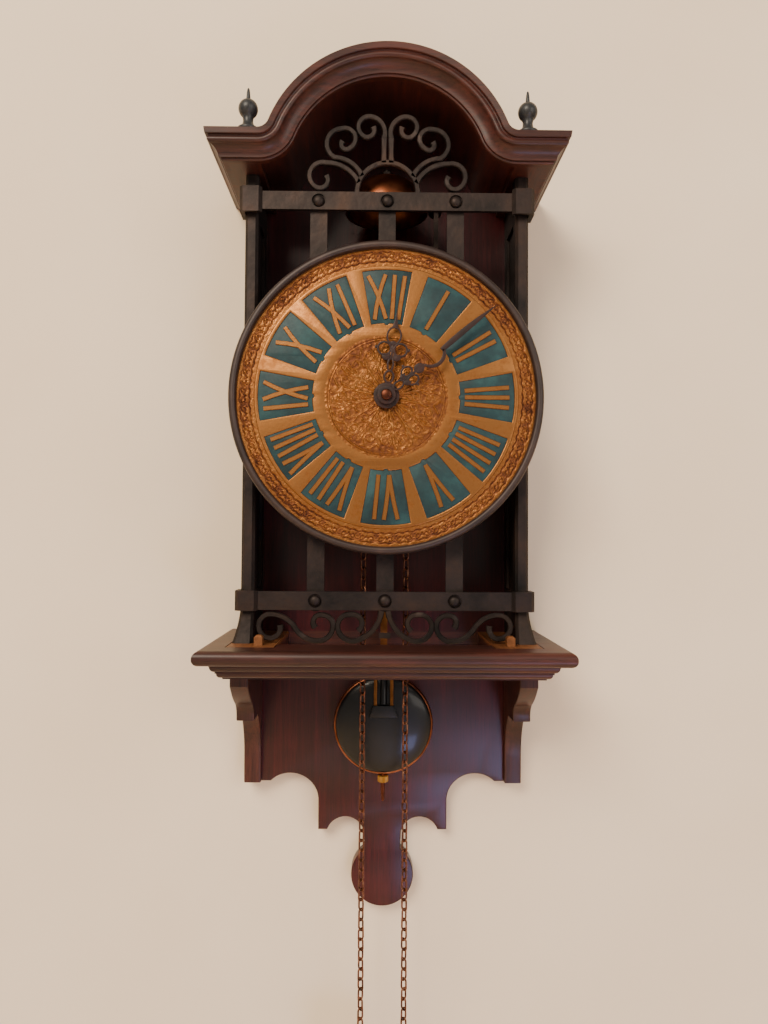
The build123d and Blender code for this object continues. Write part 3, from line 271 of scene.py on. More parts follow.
brassSpun = wornMetal("brassSpunLacquered", spunStops, (0.24, 0.36), axis=0, cloudMm=70)
copperDull = wornMetal("copperDulled", dullStops, (0.34, 0.52))
steelGround = wornMetal("steelGround", steelStops, (0.25, 0.45), axis=2)
chainBrass = wornMetal("brassWireAged", chainStops, (0.3, 0.5), cloudMm=5)
bezelBronze = wornMetal("bronzeSpunLacquered", bronzeStops, (0.4, 0.55), cloudMm=25, metallic=0.35)


def glossyPaint(name, base, fleck, roughness, coat):
    # stove enamel or japan on metal: deep and even, a soft gloss with the faintest orange peel
    material, tree, shader, coords = newMaterial(name, roughness, coat=coat, coatRoughness=0.12, specular=0.3)
    cloud = addNode(tree, "ShaderNodeTexNoise", {"Scale": cycles(8), "Detail": 4.0}, {"Vector": coords})
    peel = addNode(tree, "ShaderNodeTexNoise", {"Scale": cycles(1.2), "Detail": 1.0}, {"Vector": coords})
    addNode(tree, "ShaderNodeValToRGB", {"stops": [(0.3, base), (0.8, fleck)]},
            {"Fac": cloud.outputs["Fac"]}, ("Color", shader.inputs["Base Color"]))
    addNode(tree, "ShaderNodeBump", {"Strength": 0.06, "Distance": 0.05 * mm},
            {"Height": peel.outputs["Fac"]}, ("Normal", shader.inputs["Normal"]))
    return material


bobEnamel = glossyPaint("stoveEnamelBlack", "#050506", "#0d0d10", 0.42, 0.22)
handsJapan = glossyPaint("japannedSteelBrown", "#1c0d0b", "#351a15", 0.55, 0.05)


giltStops = [(0.0, "#3a1d11"), (0.3, "#62371e"), (0.62, "#7f4d22"), (1.0, "#936132")]


def giltCast(name, low, high):
    # cast brass, gilt then antiqued: gold on what stands proud, brown wax left in the hollows and in blotches;
    # low and high are the depths in mm between which it turns from brown to gold
    material, tree, shader, coords = newMaterial(name, 0.5, metallic=0.8)
    split = addNode(tree, "ShaderNodeSeparateXYZ", links={"Vector": coords})
    lift = addNode(tree, "ShaderNodeMapRange", {"From Min": low * mm, "From Max": high * mm},
                   {"Value": split.outputs["Y"]})
    blotch = addNode(tree, "ShaderNodeTexNoise", {"Scale": cycles(14), "Detail": 7.0, "Roughness": 0.68},
                     {"Vector": coords})
    speck = addNode(tree, "ShaderNodeTexNoise", {"Scale": cycles(2.2), "Detail": 4.0, "Roughness": 0.6},
                    {"Vector": coords})
    spread = addNode(tree, "ShaderNodeMapRange",
                     {"From Min": 0.3, "From Max": 0.7, "To Min": -0.32, "To Max": 0.28},
                     {"Value": blotch.outputs["Fac"]})
    fine = addNode(tree, "ShaderNodeMapRange",
                   {"From Min": 0.3, "From Max": 0.7, "To Min": -0.2, "To Max": 0.16},
                   {"Value": speck.outputs["Fac"]})
    clouded = addNode(tree, "ShaderNodeMath", {"operation": "ADD"},
                      {0: lift.outputs["Result"], 1: spread.outputs["Result"]})
    gold = addNode(tree, "ShaderNodeMath", {"operation": "ADD"},
                   {0: clouded.outputs["Value"], 1: fine.outputs["Result"]})
    addNode(tree, "ShaderNodeValToRGB", {"stops": giltStops}, {"Fac": gold.outputs["Value"]},
            ("Color", shader.inputs["Base Color"]))
    addNode(tree, "ShaderNodeMapRange", {"To Min": 0.62, "To Max": 0.34}, {"Value": gold.outputs["Value"]},
            ("Result", shader.inputs["Roughness"]))
    addNode(tree, "ShaderNodeBump", {"Strength": 0.3, "Distance": 0.25 * mm},
            {"Height": speck.outputs["Fac"]}, ("Normal", shader.inputs["Normal"]))
    return material


def glassEnamel(name, stops):
    # vitreous enamel fired on copper, then worn matt: clouded blue-green with fine pits
    material, tree, shader, coords = newMaterial(name, 0.5, coat=0.08, coatRoughness=0.35, specular=0.3)
    cloud = addNode(tree, "ShaderNodeTexNoise", {"Scale": cycles(16), "Detail": 6.0, "Roughness": 0.62},
                    {"Vector": coords})
    pits = addNode(tree, "ShaderNodeTexNoise", {"Scale": cycles(1.1), "Detail": 3.0}, {"Vector": coords})
    addNode(tree, "ShaderNodeValToRGB", {"stops": stops}, {"Fac": cloud.outputs["Fac"]},
            ("Color", shader.inputs["Base Color"]))
    addNode(tree, "ShaderNodeMapRange", {"To Min": 0.45, "To Max": 0.7}, {"Value": pits.outputs["Fac"]},
            ("Result", shader.inputs["Roughness"]))
    addNode(tree, "ShaderNodeBump", {"Strength": 0.25, "Distance": 0.15 * mm},
            {"Height": pits.outputs["Fac"]}, ("Normal", shader.inputs["Normal"]))
    return material


giltPlate = giltCast("brassCastGiltPlate", -89.9, -91.0)
giltFrame = giltCast("brassCastGiltFrame", -90.3, -91.4)
giltNumeral = giltCast("brassCastGiltNumeral", -90.6, -91.5)
giltMedal = giltCast("brassCastGiltMedal", -90.3, -92.2)
tealEnamel = glassEnamel("vitreousEnamelTeal", [(0.3, "#0b2226"), (0.52, "#143438"), (0.75, "#224a4c")])
print("finishes made")


def addPiece(name, mesh, material, body, replaced=(), sharp=35):
    # links a finished mesh, gives it its finish and its CAD body
    piece = bpy.data.objects.new(name, mesh)
    scene.collection.objects.link(piece)
    mesh.materials.clear()
    mesh.materials.append(material)
    if sharp:
        mesh.shade_smooth()
        mesh.set_sharp_from_angle(angle=math.radians(sharp))
    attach(piece, body)
    if replaced:
        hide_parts(*replaced)
    return piece


def meshFrom(name, points, faces):
    mesh = bpy.data.meshes.new(name)
    mesh.from_pydata([Vector(p) * mm for p in points], [], faces)
    build = bmesh.new()
    build.from_mesh(mesh)
    bmesh.ops.remove_doubles(build, verts=build.verts, dist=1e-6)
    bmesh.ops.recalc_face_normals(build, faces=build.faces)
    build.to_mesh(mesh)
    build.free()
    return mesh


def joined(name, meshes):
    build = bmesh.new()
    for mesh in meshes:
        build.from_mesh(mesh)
        bpy.data.meshes.remove(mesh)
    whole = bpy.data.meshes.new(name)
    build.to_mesh(whole)
    build.free()
    return whole


def gridFaces(rows, columns, wrapRows=False, wrapColumns=False):
    faces = []
    for r in range(rows if wrapRows else rows - 1):
        for c in range(columns if wrapColumns else columns - 1):
            nextR, nextC = (r + 1) % rows, (c + 1) % columns
            faces.append((r * columns + c, r * columns + nextC, nextR * columns + nextC, nextR * columns + c))
    return faces


def lathe(name, profile, centre, axis="Z", segments=64):
    # profile is (radius, height) from end to end, in mm, turned about an axis through centre
    points = []
    for k in range(segments):
        angle = 2 * math.pi * k / segments
        for radius, height in profile:
            a, b = radius * math.cos(angle), radius * math.sin(angle)
            offset = (a, b, height) if axis == "Z" else (a, height, b)
            points.append([centre[i] + offset[i] for i in range(3)])
    faces = gridFaces(segments, len(profile), wrapRows=True)
    return meshFrom(name, points, faces)


def arcPoints(cx, cy, radius, start, end, steps):
    # points on a circle, angles in degrees from the first axis
    turn = [math.radians(start + (end - start) * i / steps) for i in range(steps + 1)]
    return [(cx + radius * math.cos(t), cy + radius * math.sin(t)) for t in turn]


def throughThree(a, b, c, steps=10):
    # points on the arc from a through b to c
    d = 2 * (a[0] * (b[1] - c[1]) + b[0] * (c[1] - a[1]) + c[0] * (a[1] - b[1]))
    if abs(d) < 1e-6:
        return [tuple(a[i] + (c[i] - a[i]) * k / steps for i in (0, 1)) for k in range(steps + 1)]
    sa, sb, sc = (p[0] ** 2 + p[1] ** 2 for p in (a, b, c))
    ux = (sa * (b[1] - c[1]) + sb * (c[1] - a[1]) + sc * (a[1] - b[1])) / d
    uy = (sa * (c[0] - b[0]) + sb * (a[0] - c[0]) + sc * (b[0] - a[0])) / d
    radius = math.hypot(a[0] - ux, a[1] - uy)
    angles = [math.degrees(math.atan2(p[1] - uy, p[0] - ux)) for p in (a, b, c)]
    sweep = (angles[2] - angles[0]) % 360
    if (angles[1] - angles[0]) % 360 > sweep:
        sweep -= 360
    return arcPoints(ux, uy, radius, angles[0], angles[0] + sweep, steps)


def chainArcs(points, steps=10):
    # smooth run of arcs, each through the next two points
    run = [points[0]]
    for a, b, c in zip(points[0::2], points[1::2], points[2::2]):
        run += throughThree(a, b, c, steps)[1:]
    return run


def plateFrom(name, outlines, y0, y1, bevel=0.3, bevelSteps=2, plane="front"):
    # flat plate with rounded arrises, cut from closed outlines: the first is the edge, the rest are holes
    curve = bpy.data.curves.new(name, "CURVE")
    curve.dimensions = "2D"
    curve.fill_mode = "BOTH"
    curve.extrude = (abs(y1 - y0) / 2 - bevel) * mm
    curve.bevel_depth = bevel * mm
    curve.bevel_resolution = bevelSteps
    curve.offset = -bevel * mm
    for outline in outlines:
        spline = curve.splines.new("POLY")
        spline.points.add(len(outline) - 1)
        for point, (x, z) in zip(spline.points, outline):
            point.co = (x * mm, z * mm, 0, 1)
        spline.use_cyclic_u = True
    holder = bpy.data.objects.new(name, curve)
    scene.collection.objects.link(holder)
    bpy.context.view_layer.update()
    graph = bpy.context.evaluated_depsgraph_get()
    mesh = bpy.data.meshes.new_from_object(holder.evaluated_get(graph))
    bpy.data.objects.remove(holder)
    bpy.data.curves.remove(curve)
    middle = (y0 + y1) / 2 * mm
    if plane == "front":  # drawn in X and Z, thick in Y
        move = Matrix(((1, 0, 0, 0), (0, 0, -1, middle), (0, 1, 0, 0), (0, 0, 0, 1)))
    else:  # drawn in Y and Z, thick in X
        move = Matrix(((0, 0, 1, middle), (1, 0, 0, 0), (0, 1, 0, 0), (0, 0, 0, 1)))
    mesh.transform(move)
    build = bmesh.new()
    build.from_mesh(mesh)
    bmesh.ops.remove_doubles(build, verts=build.verts, dist=2e-6)
    bmesh.ops.recalc_face_normals(build, faces=build.faces)
    build.to_mesh(mesh)
    build.free()
    mesh.name = name
    return mesh


def barAlong(name, route, widths, y0, y1, edge=0.5, hammer=0.0, seed=0):
    # flat bar bent in the front plane; its edges are eased, its width can taper, and hammer roughens it
    count = len(route)
    points = []
    thick = y1 - y0
    for i, (x, z) in enumerate(route):
        before, after = route[max(i - 1, 0)], route[min(i + 1, count - 1)]
        length = math.hypot(after[0] - before[0], after[1] - before[1])
        tx, tz = (after[0] - before[0]) / length, (after[1] - before[1]) / length
        nx, nz = -tz, tx
        along = i / (count - 1)
        half = widths(along) / 2
        section = [(-half, edge), (-half + edge, 0), (half - edge, 0), (half, edge), (half, thick - edge),
                   (half - edge, thick), (-half + edge, thick), (-half, thick - edge)]
        for across, deep in section:
            wobble = hammer * noise.noise(Vector((x * 0.35 + across, z * 0.35, deep + seed)))
            points.append((x + nx * (across + wobble), y0 + deep, z + nz * (across + wobble)))
    faces = gridFaces(count, 8, wrapColumns=True)
    faces += [tuple(range(8)), tuple(range((count - 1) * 8, count * 8))]
    return meshFrom(name, points, faces)


def swept(name, stations, section):
    # stations are functions that place a section's point in space
    points = [place(*pair) for place in stations for pair in section]
    columns = len(section)
    faces = gridFaces(len(stations), columns, wrapColumns=True)
    faces += [tuple(range(columns)), tuple(range((len(stations) - 1) * columns, len(stations) * columns))]
    return meshFrom(name, points, faces)


def boxOf(node):
    # a CAD node's corners in mm
    low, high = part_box(node)
    return [v / mm for v in low], [v / mm for v in high]


def finish(node, material):
    # a CAD node whose shape is right keeps it and gets its material
    slots = nodes[node].data.materials
    slots.clear()
    slots.append(material)


def softEdges(node, width):
    # rounds a CAD node's sharp arrises by width mm
    bevel = nodes[node].modifiers.new("arris", "BEVEL")
    bevel.width = width * mm
    bevel.segments = 2
    bevel.limit_method = "ANGLE"
    bevel.angle_limit = math.radians(40)


chainSet = {
    "y": -56.0,
    "reach": 15.0,  # each strand's distance from the centre line
    "top": -182.0,
    "end": -591.0,
    "pitch": 6.77,  # 45 links to the foot
    "width": 5.4,
    "wire": 1.3,
    "travel": 40.0,
}


def linkMesh(centre, along, across, normal, settings, segments=20, around=8):
    # one oval wire link: two straight sides and two half rounds
    wire = settings["wire"] / 2
    bend = settings["width"] / 2 - wire
    straight = settings["pitch"] / 2 + wire - bend
    points = []
    for k in range(segments):
        t = 2 * math.pi * k / segments
        u, v = bend * math.cos(t), bend * math.sin(t)
        v += straight if math.sin(t) >= 0 else -straight
        ring = Vector((math.cos(t), math.sin(t)))
        for j in range(around):
            w = 2 * math.pi * j / around
            out, side = wire * math.cos(w), wire * math.sin(w)
            point = centre + across * (u + ring.x * out) + along * (v + ring.y * out) + normal * side
            points.append(point)
    return points, gridFaces(segments, around, wrapRows=True, wrapColumns=True)


def routeOf(points):
    # the strand's route as points read from one smooth curve
    curve = bpy.data.curves.new("route", "CURVE")
    curve.dimensions = "3D"
    spline = curve.splines.new("NURBS")
    spline.points.add(len(points) - 1)
    for slot, point in zip(spline.points, points):
        slot.co = (*[v * mm for v in point], 1)
    spline.order_u = 3
    spline.use_endpoint_u = True
    curve.resolution_u = 24
    holder = bpy.data.objects.new("route", curve)
    scene.collection.objects.link(holder)
    bpy.context.view_layer.update()
    graph = bpy.context.evaluated_depsgraph_get()
    line = bpy.data.meshes.new_from_object(holder.evaluated_get(graph))
    path = [vertex.co.copy() for vertex in line.vertices]
    bpy.data.objects.remove(holder)
    bpy.data.curves.remove(curve)
    bpy.data.meshes.remove(line)
    return path


def makeStrand(name, side, body, node, settings):
    # straight down under load, in a few runs; links turn a quarter each, and a little more or less
    runs = 5
    fall = settings["end"] - settings["top"]
    path = routeOf([(side * settings["reach"], settings["y"], settings["top"] + fall * i / runs)
                    for i in range(runs + 1)])
    top, end = path[0] / mm, path[-1] / mm
    length = (end - top).length
    along = (end - top).normalized()
    count = int(length / settings["pitch"])
    points, faces = [], []
    for k in range(count):
        centre = end - along * settings["pitch"] * (k + 0.5)
        turn = math.radians(45 + 90 * (k % 2) + 5 * math.sin(k * 1.7))
        across = Vector((math.cos(turn), math.sin(turn), 0))
        normal = along.cross(across)
        ringPoints, ringFaces = linkMesh(centre, along, across, normal, settings)
        faces += [tuple(i + len(points) for i in face) for face in ringFaces]
        points += ringPoints
    mesh = meshFrom(name, points, faces)
    mesh.shade_smooth()
    return addPiece(name, mesh, chainBrass, body, [node], sharp=0), path


def makeChains(settings):
    left, right = [(side * settings["reach"] * mm, settings["y"] * mm, settings["top"] * mm) for side in (-1, 1)]
    strand, path = makeStrand("chainWeightSide", -1, "case", "chain_weight_side", settings)
    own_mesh(strand)
    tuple(left)
    makeWeight(settings)
    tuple(left)
    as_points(path)
    strand, path = makeStrand("chainFreeSide", 1, "pull_ring", "chain_free_side", settings)
    makePullRing(settings)
    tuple(right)
    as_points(path)
    makeChainArc(settings)


def wireRing(name, centre, radius, wire, plane="front", segments=40, around=10):
    # a closed ring bent from round wire
    points = []
    for k in range(segments):
        t = 2 * math.pi * k / segments
        for j in range(around):
            w = 2 * math.pi * j / around
            r = radius + wire * math.cos(w)
            a, b, c = r * math.cos(t), r * math.sin(t), wire * math.sin(w)
            offset = (a, c, b) if plane == "front" else (c, a, b)
            points.append([centre[i] + offset[i] for i in range(3)])
    return meshFrom(name, points, gridFaces(segments, around, wrapRows=True, wrapColumns=True))


weightSet = {
    "hookDrop": 16.0,
    "neck": 3.0,
    "loop": (2.35, 0.675),  # radius and half the wire's thickness
    "hookWire": 0.855,
    "upperEye": (4.2, 3.3),  # below the chain's end, radius
    "lowerEye": (12.2, 3.5),
}


def makeWeight(settings):
    # a turned cylinder with two grooved bands and a loop, on a hook of two eyes
    low, high = boxOf("weight")
    x, y = (low[0] + high[0]) / 2, (low[1] + high[1]) / 2
    radius = (high[0] - low[0]) / 2
    top = settings["end"] - weightSet["hookDrop"] - weightSet["neck"]
    bottom = low[2]
    profile = [(0, bottom), (radius - 5, bottom)]
    profile += arcPoints(radius - 3, bottom + 3, 3, -90, 0, 5)
    for z in (bottom + 9, top - 19):
        profile += [(radius, z), (radius - 0.6, z + 0.5), (radius - 0.6, z + 1.6), (radius, z + 2.1)]
    profile += [(radius, top - 9)]
    profile += arcPoints(radius - 3.4, top - 8, 3.4, 0, 80, 6)
    profile += [(9, top - 2.6), (4.2, top - 0.9), (2.2, top), (1.3, top + 0.5), (0, top + 0.6)]
    body = lathe("weightBody", profile, (x, y, 0), "Z", 72)
    loopZ = settings["end"] - weightSet["hookDrop"] + 0.1
    loop = wireRing("weightLoop", (x, y, loopZ), *weightSet["loop"], "side")
    addPiece("drivingWeight", joined("drivingWeight", [body, loop]), brassSpun, "driving_weight",
             ["weight"])
    eyes = [wireRing("eye", (x, y, settings["end"] - drop), size, weightSet["hookWire"])
            for drop, size in (weightSet["upperEye"], weightSet["lowerEye"])]
    return addPiece("weightHook", joined("weightHook", eyes), steelGround, "driving_weight",
                    ["weight_hook"])


def makePullRing(settings):
    centre = (settings["reach"], settings["y"], settings["end"] - 7.0)
    mesh = wireRing("pullRing", centre, 6.1, 0.88, segments=56)
    return addPiece("pullRing", mesh, brassTurned, "pull_ring", ["chain_ring"])


def makeChainArc(settings):
    # links laid round the sprocket
    z, radius = settings["top"], settings["reach"]
    count = int(math.pi * radius / settings["pitch"])
    points, faces = [], []
    for k in range(count):
        angle = math.pi * (k + 0.5) / count
        centre = Vector((radius * math.cos(angle), settings["y"], z + radius * math.sin(angle)))
        along = Vector((-math.sin(angle), 0, math.cos(angle)))
        out = Vector((math.cos(angle), 0, math.sin(angle)))
        across = Vector((0, 1, 0)) if k % 2 else out
        normal = along.cross(across)
        ringPoints, ringFaces = linkMesh(centre, along, across, normal, settings)
        faces += [tuple(i + len(points) for i in face) for face in ringFaces]
        points += ringPoints
    mesh = meshFrom("chainOverSprocket", points, faces)
    addPiece("chainOverSprocket", mesh, chainBrass, "case", ["chain_arc"], sharp=0)


makeChains(chainSet)
print("chains made")


hoodSet = {
    "archRadius": 84.5,
    "archZ": -3.3,
    "fillet": 8.0,
    "top": 23.0,
    "half": 120.5,
    "back": -92.0,  # the moulding's back face
    "proud": 15.0,
}


def crownSection():
    # (inward from the edge, proud of the back): fascia, quirk, bead, long hollow, quirk, bead
    section = [(0.0, 0.0), (0.0, 14.5), (0.4, 15.0), (3.9, 14.5), (4.3, 14.1), (4.5, 12.7), (5.3, 12.3)]
    section += throughThree((5.5, 12.6), (7.3, 13.2), (9.2, 11.3), 8)
    section += throughThree((9.4, 11.0), (12.2, 8.0), (16.2, 6.6), 8)
    section += [(16.4, 6.4), (16.5, 5.2), (16.8, 4.9)]
    return section + throughThree((16.9, 5.2), (17.5, 5.0), (18.0, 4.2), 4) + [(18.0, 0.0)]


def hoodEdge(inward, settings):
    # right half of the arched edge moved inward: (x, z) from the apex to where the shoulder starts
    joinZ = settings["top"] + settings["fillet"]
    spread = settings["archRadius"] + settings["fillet"]
    joinX = math.sqrt(spread ** 2 - (joinZ - settings["archZ"]) ** 2)
    lean = math.degrees(math.atan2(joinZ - settings["archZ"], joinX))
    arch = arcPoints(0, settings["archZ"], settings["archRadius"] - inward, 90, lean, 44)
    foot = arcPoints(joinX, joinZ, settings["fillet"] + inward, 180 + lean, 270, 14)
    return arch + foot[1:]


def crownStation(index, side, settings):
    def place(inward, proud):
        x, z = hoodEdge(inward, settings)[index]
        return (side * x, settings["back"] - proud, z)
    return place


def crownCorner(side, atWall, settings):
    inner = settings["half"] - settings["proud"]

    def place(inward, proud):
        y = 0.0 if atWall else settings["back"] - proud
        return (side * (inner + proud), y, settings["top"] - inward)
    return place


def makeCrown(settings):
    # one moulding from wall to wall, round both shoulders and over the arch
    last = len(hoodEdge(0, settings)) - 1
    stations = [crownCorner(-1, True, settings), crownCorner(-1, False, settings)]
    stations += [crownStation(i, -1, settings) for i in range(last, 0, -1)]
    stations += [crownStation(i, 1, settings) for i in range(0, last + 1)]
    stations += [crownCorner(1, False, settings), crownCorner(1, True, settings)]
    mesh = swept("crownMoulding", stations, crownSection())
    addPiece("crownMoulding", mesh, mahoganyAcross, "case", ["crown_front", "crown_sides"],
             sharp=28)


finialSet = {
    "x": 92.6,
    "y": -99.5,
    "base": 23.0,
    "ball": 6.45,  # radius
    "ballRise": 15.4,
}


def makeFinial(side, settings):
    # saucer foot, waisted neck, ball and turned tip
    z, ball = settings["base"], settings["ball"]
    ballZ = z + settings["ballRise"]
    profile = [(0, z), (7.0, z), (7.4, z + 0.9), (7.0, z + 1.9), (5.6, z + 2.7)]
    profile += throughThree((4.6, z + 3.4), (3.5, z + 6.0), (3.6, z + 9.3), 8)
    profile += arcPoints(0, ballZ, ball, -52, 78, 18)
    tip = [(1.5, 6.7), (1.3, 8.6), (1.1, 11.2), (0.75, 13.4), (0.3, 14.1), (0, 14.1)]
    profile += [(radius, ballZ + rise) for radius, rise in tip]
    name = "finialLeft" if side < 0 else "finialRight"
    mesh = lathe(name, profile, (side * settings["x"], settings["y"], 0), "Z", 40)
    addPiece(name, mesh, ebonised, "case", ["finials"], sharp=50)


makeCrown(hoodSet)
for side in (-1, 1):
    makeFinial(side, finialSet)
finish("hood_vault", mahoganyDeep)
finish("soffits", mahoganyDeep)
softEdges("soffits", 0.4)
print("hood made")


caseSet = {
    "boardThick": 12.0,
    "apronHalf": 104.0,
    "apronTop": -335.0,
    "apronBase": -428.3,
    "bracketX": (91.4, 104.0),
    "arris": 0.9,
}


def apronOutline(settings):
    # board with two scalloped steps and a round drop
    half, base = settings["apronHalf"], settings["apronBase"]
    right = [(half, settings["apronTop"]), (half, base), (84.5, base)]
    right += throughThree((84.5, base), (69.5, -422.5), (54.6, -428.7), 14)[1:]
    right += throughThree((54.6, -428.7), (50.0, -435.3), (48.5, -443.5), 8)[1:]
    right += [(48.5, -464.5), (41.6, -464.5)]
    right += throughThree((41.6, -464.5), (27.8, -455.0), (14.0, -466.0), 14)[1:]
    right += [(13.4, -478.8)]
    right += throughThree((13.4, -478.8), (22.9, -502.8), (0, -521.4), 22)[1:]
    left = [(-x, z) for x, z in reversed(right[:-1])]
    return right + left


def bracketOutline(settings):
    # side view in (y, z): bulge, step, hollow, straight foot
    z, back, foot = settings["apronTop"], -settings["boardThick"], settings["apronBase"]
    edge = [(back, z), (-79.5, z), (-79.5, z - 10)]
    edge += throughThree((-79.5, z - 10), (-71, z - 18), (-60.5, z - 25), 12)[1:]
    edge += throughThree((-60.5, z - 25), (-54.5, z - 29.5), (-52, z - 35), 8)[1:]
    edge += [(-52, z - 39), (-32.5, z - 39)]
    edge += throughThree((-32.5, z - 39), (-21.5, z - 54), (-16.8, z - 75), 14)[1:]
    return edge + [(-16.5, foot), (back, foot)]


def makeLowerCase(settings):
    thick, arris = settings["boardThick"], settings["arris"]
    mesh = plateFrom("apronBoard", [apronOutline(settings)], -thick, 0, arris, 3)
    addPiece("apronBoard", mesh, boardUpright, "case", ["apron"])
    for side, name, node in ((-1, "bracketLeft", "bracket_left"), (1, "bracketRight", "bracket_right")):
        x0, x1 = sorted(side * x for x in settings["bracketX"])
        mesh = plateFrom(name, [bracketOutline(settings)], x0, x1, arris, 3, plane="side")
        addPiece(name, mesh, mahoganyUpright, "case", [node])


makeLowerCase(caseSet)
finish("backboard", boardUpright)
finish("wall_hanger", steelGround)


shelfSet = {
    "half": 120.0,
    "front": -122.0,
    "top": -315.5,
    "nose": 9.5,
    "base": -335.0,
    "well": (72.0, -86.0, -12.0),  # half width, front, back
}


def underSection(low, base):
    # (inset from the nose's tip, height): cove, fillet and quarter round under the nose
    section = [(8.9, low), (8.9, low - 1.2)]
    section += throughThree((9.2, low - 1.2), (9.9, low - 3.4), (12.0, low - 4.8), 8)
    section += [(12.2, low - 4.9), (12.2, low - 5.9), (13.0, low - 6.0)]
    section += throughThree((13.0, low - 6.0), (13.8, low - 8.2), (16.0, low - 9.0), 6)[1:]
    return section + [(16.3, low - 9.0), (16.3, base)]


def makeShelfUnder(settings):
    # the moulding runs along the front and both sides; a strip at the wall closes the well behind it
    low, base = settings["top"] - settings["nose"], settings["base"]
    half, front, back = settings["well"]
    section = underSection(low, base)
    points, columns = [], len(section) + 2
    for side, atWall in ((-1, True), (-1, False), (1, False), (1, True)):
        points += [(side * (settings["half"] - inset), 0.0 if atWall else settings["front"] + inset, z)
                   for inset, z in section]
        points += [(half * side, 0.0 if atWall else front, z) for z in (base, low)]
    faces = gridFaces(4, columns, wrapColumns=True)
    faces += [tuple(range(columns)), tuple(range(3 * columns, 4 * columns))]
    strip = [(-half, base), (half, base), (half, low), (-half, low)]
    meshes = [meshFrom("shelfFrame", points, faces), plateFrom("shelfRear", [strip], back, 0.0, 0.2, 2)]
    addPiece("shelfUnderMoulding", joined("shelfUnder", meshes), mahoganyAcross, "case",
             ["shelf_moulding"], sharp=28)


makeShelfUnder(shelfSet)
finish("shelf_board", mahoganyAcross)
finish("floor_boards", pinePlain)
finish("corner_blocks", pinePlain)
softEdges("corner_blocks", 0.6)
print("case made")


cageSet = {
    "postX": 93.0,
    "postHalf": 4.5,
    "postFront": -78.0,
    "postDeep": 10.0,
    "chamfer": 1.9,
    "flare": 4.8,  # how far the foot spreads
    "flareFrom": 27.0,  # above the shelf
    "floor": -315.5,
    "head": 5.0,
    "strapFront": -81.0,
    "strapTop": -14.0,
    "strapLow": -287.0,
    "strapHigh": 12.5,
    "railX": 47.0,
    "rivetHead": [(0, 0), (4.1, 0), (4.15, 0.5), (3.9, 1.4), (3.3, 2.2), (2.4, 2.8), (1.2, 3.1), (0, 3.2)],
    "barWide": 3.5,
    "barDeep": 3.0,
}


def postSection(z, side, settings):
    # square bar with chamfered arrises; its foot spreads outward and forward
    x, half = settings["postX"], settings["postHalf"]
    y0, y1, cut = settings["postFront"], settings["postFront"] + settings["postDeep"], settings["chamfer"]
    rise = max(0.0, 1 - (z - settings["floor"]) / settings["flareFrom"])
    spread = settings["flare"] * rise ** 1.8
    inner, outer, front = x - half, x + half + spread, y0 - spread
    ring = [(inner, y1), (inner, front + cut), (inner + cut, front), (outer - cut, front), (outer, front + cut),
            (outer, y1 - cut), (outer - cut, y1)]
    return [(side * px, py, z) for px, py in ring]


def makePost(side, settings):
    levels = [settings["floor"] + settings["flareFrom"] * i / 12 for i in range(13)]
    levels += [settings["floor"] + 60, -150, -50, settings["head"]]
    points = [p for z in levels for p in postSection(z, side, settings)]
    faces = gridFaces(len(levels), 7, wrapColumns=True)
    faces += [tuple(range(7)), tuple(range((len(levels) - 1) * 7, len(levels) * 7))]
    return meshFrom("post", points, faces)


def makeCage(settings):
    posts = joined("frontPosts", [makePost(side, settings) for side in (-1, 1)])
    addPiece("frontPosts", posts, ironWaxed, "case", ["posts"], sharp=30)
    for node, width in (("strap_top", 0.5), ("strap_bottom", 0.5), ("collars", 0.6), ("vertical_straps", 0.4),
                        ("side_frames", 0.5), ("bell_bracket", 0.3)):
        finish(node, ironWaxed)
        softEdges(node, width)


def makeRivets(settings):
    random.seed(11)
    base = settings["strapFront"] + 1.2
    meshes = []
    for z in (settings["strapTop"], settings["strapLow"]):
        for x in (-settings["railX"], 0, settings["railX"]):
            lean, size = random.uniform(-0.2, 0.2), random.uniform(0.94, 1.0)
            profile = [(radius * size, base - rise) for radius, rise in settings["rivetHead"]]
            meshes.append(lathe("rivet", profile, (x + lean, 0, z + lean), "Y", 28))
    addPiece("rivets", joined("rivets", meshes), ironWaxed, "case", ["rivets"], sharp=55)


def makeScrolls(routes, settings):
    # each bar and its mirror image, a little thicker where the ends are rolled up
    def width(along):
        return settings["barWide"] * (1.0 + 0.22 * max(0.0, 1 - min(along, 1 - along) / 0.06))

    front = settings["strapFront"]
    meshes = []
    for k, route in enumerate(routes):
        for flip, run in enumerate((route, [(-x, z) for x, z in route])):
            meshes.append(barAlong("scroll", run, width, front, front + settings["barDeep"], 0.55, 0.18,
                                   seed=k * 3 + flip))
    return meshes


def crestRoutes(base):
    # base is the strap's top edge: a half ring round the bell, a stem and three scrolls on each side
    routes = [
        [(2.4, 38), (4.6, 49), (11.7, 53), (20.2, 45.4), (15.6, 38.6), (10.2, 40.4), (10.0, 45.6)],
        [(17.4, 11.2), (26.5, 21.4), (36.6, 24.2), (41.9, 34.0), (31.2, 44.4), (22.2, 38.8), (26.2, 30.6),
         (31.2, 31.0), (31.0, 35.4)],
        [(19.6, 6.6), (29.6, 17.2), (42.0, 20.4), (53.6, 11.6), (49.4, 3.6), (41.8, 5.0), (42.0, 11.4)],
    ]
    stem = [(2.5, base + 20.5), (2.5, base + 28), (2.4, base + 38)]
    scrolls = [chainArcs([(x, base + z) for x, z in route], 9) for route in routes]
    return [arcPoints(0, base, 20.8, 0, 90, 24), stem] + scrolls


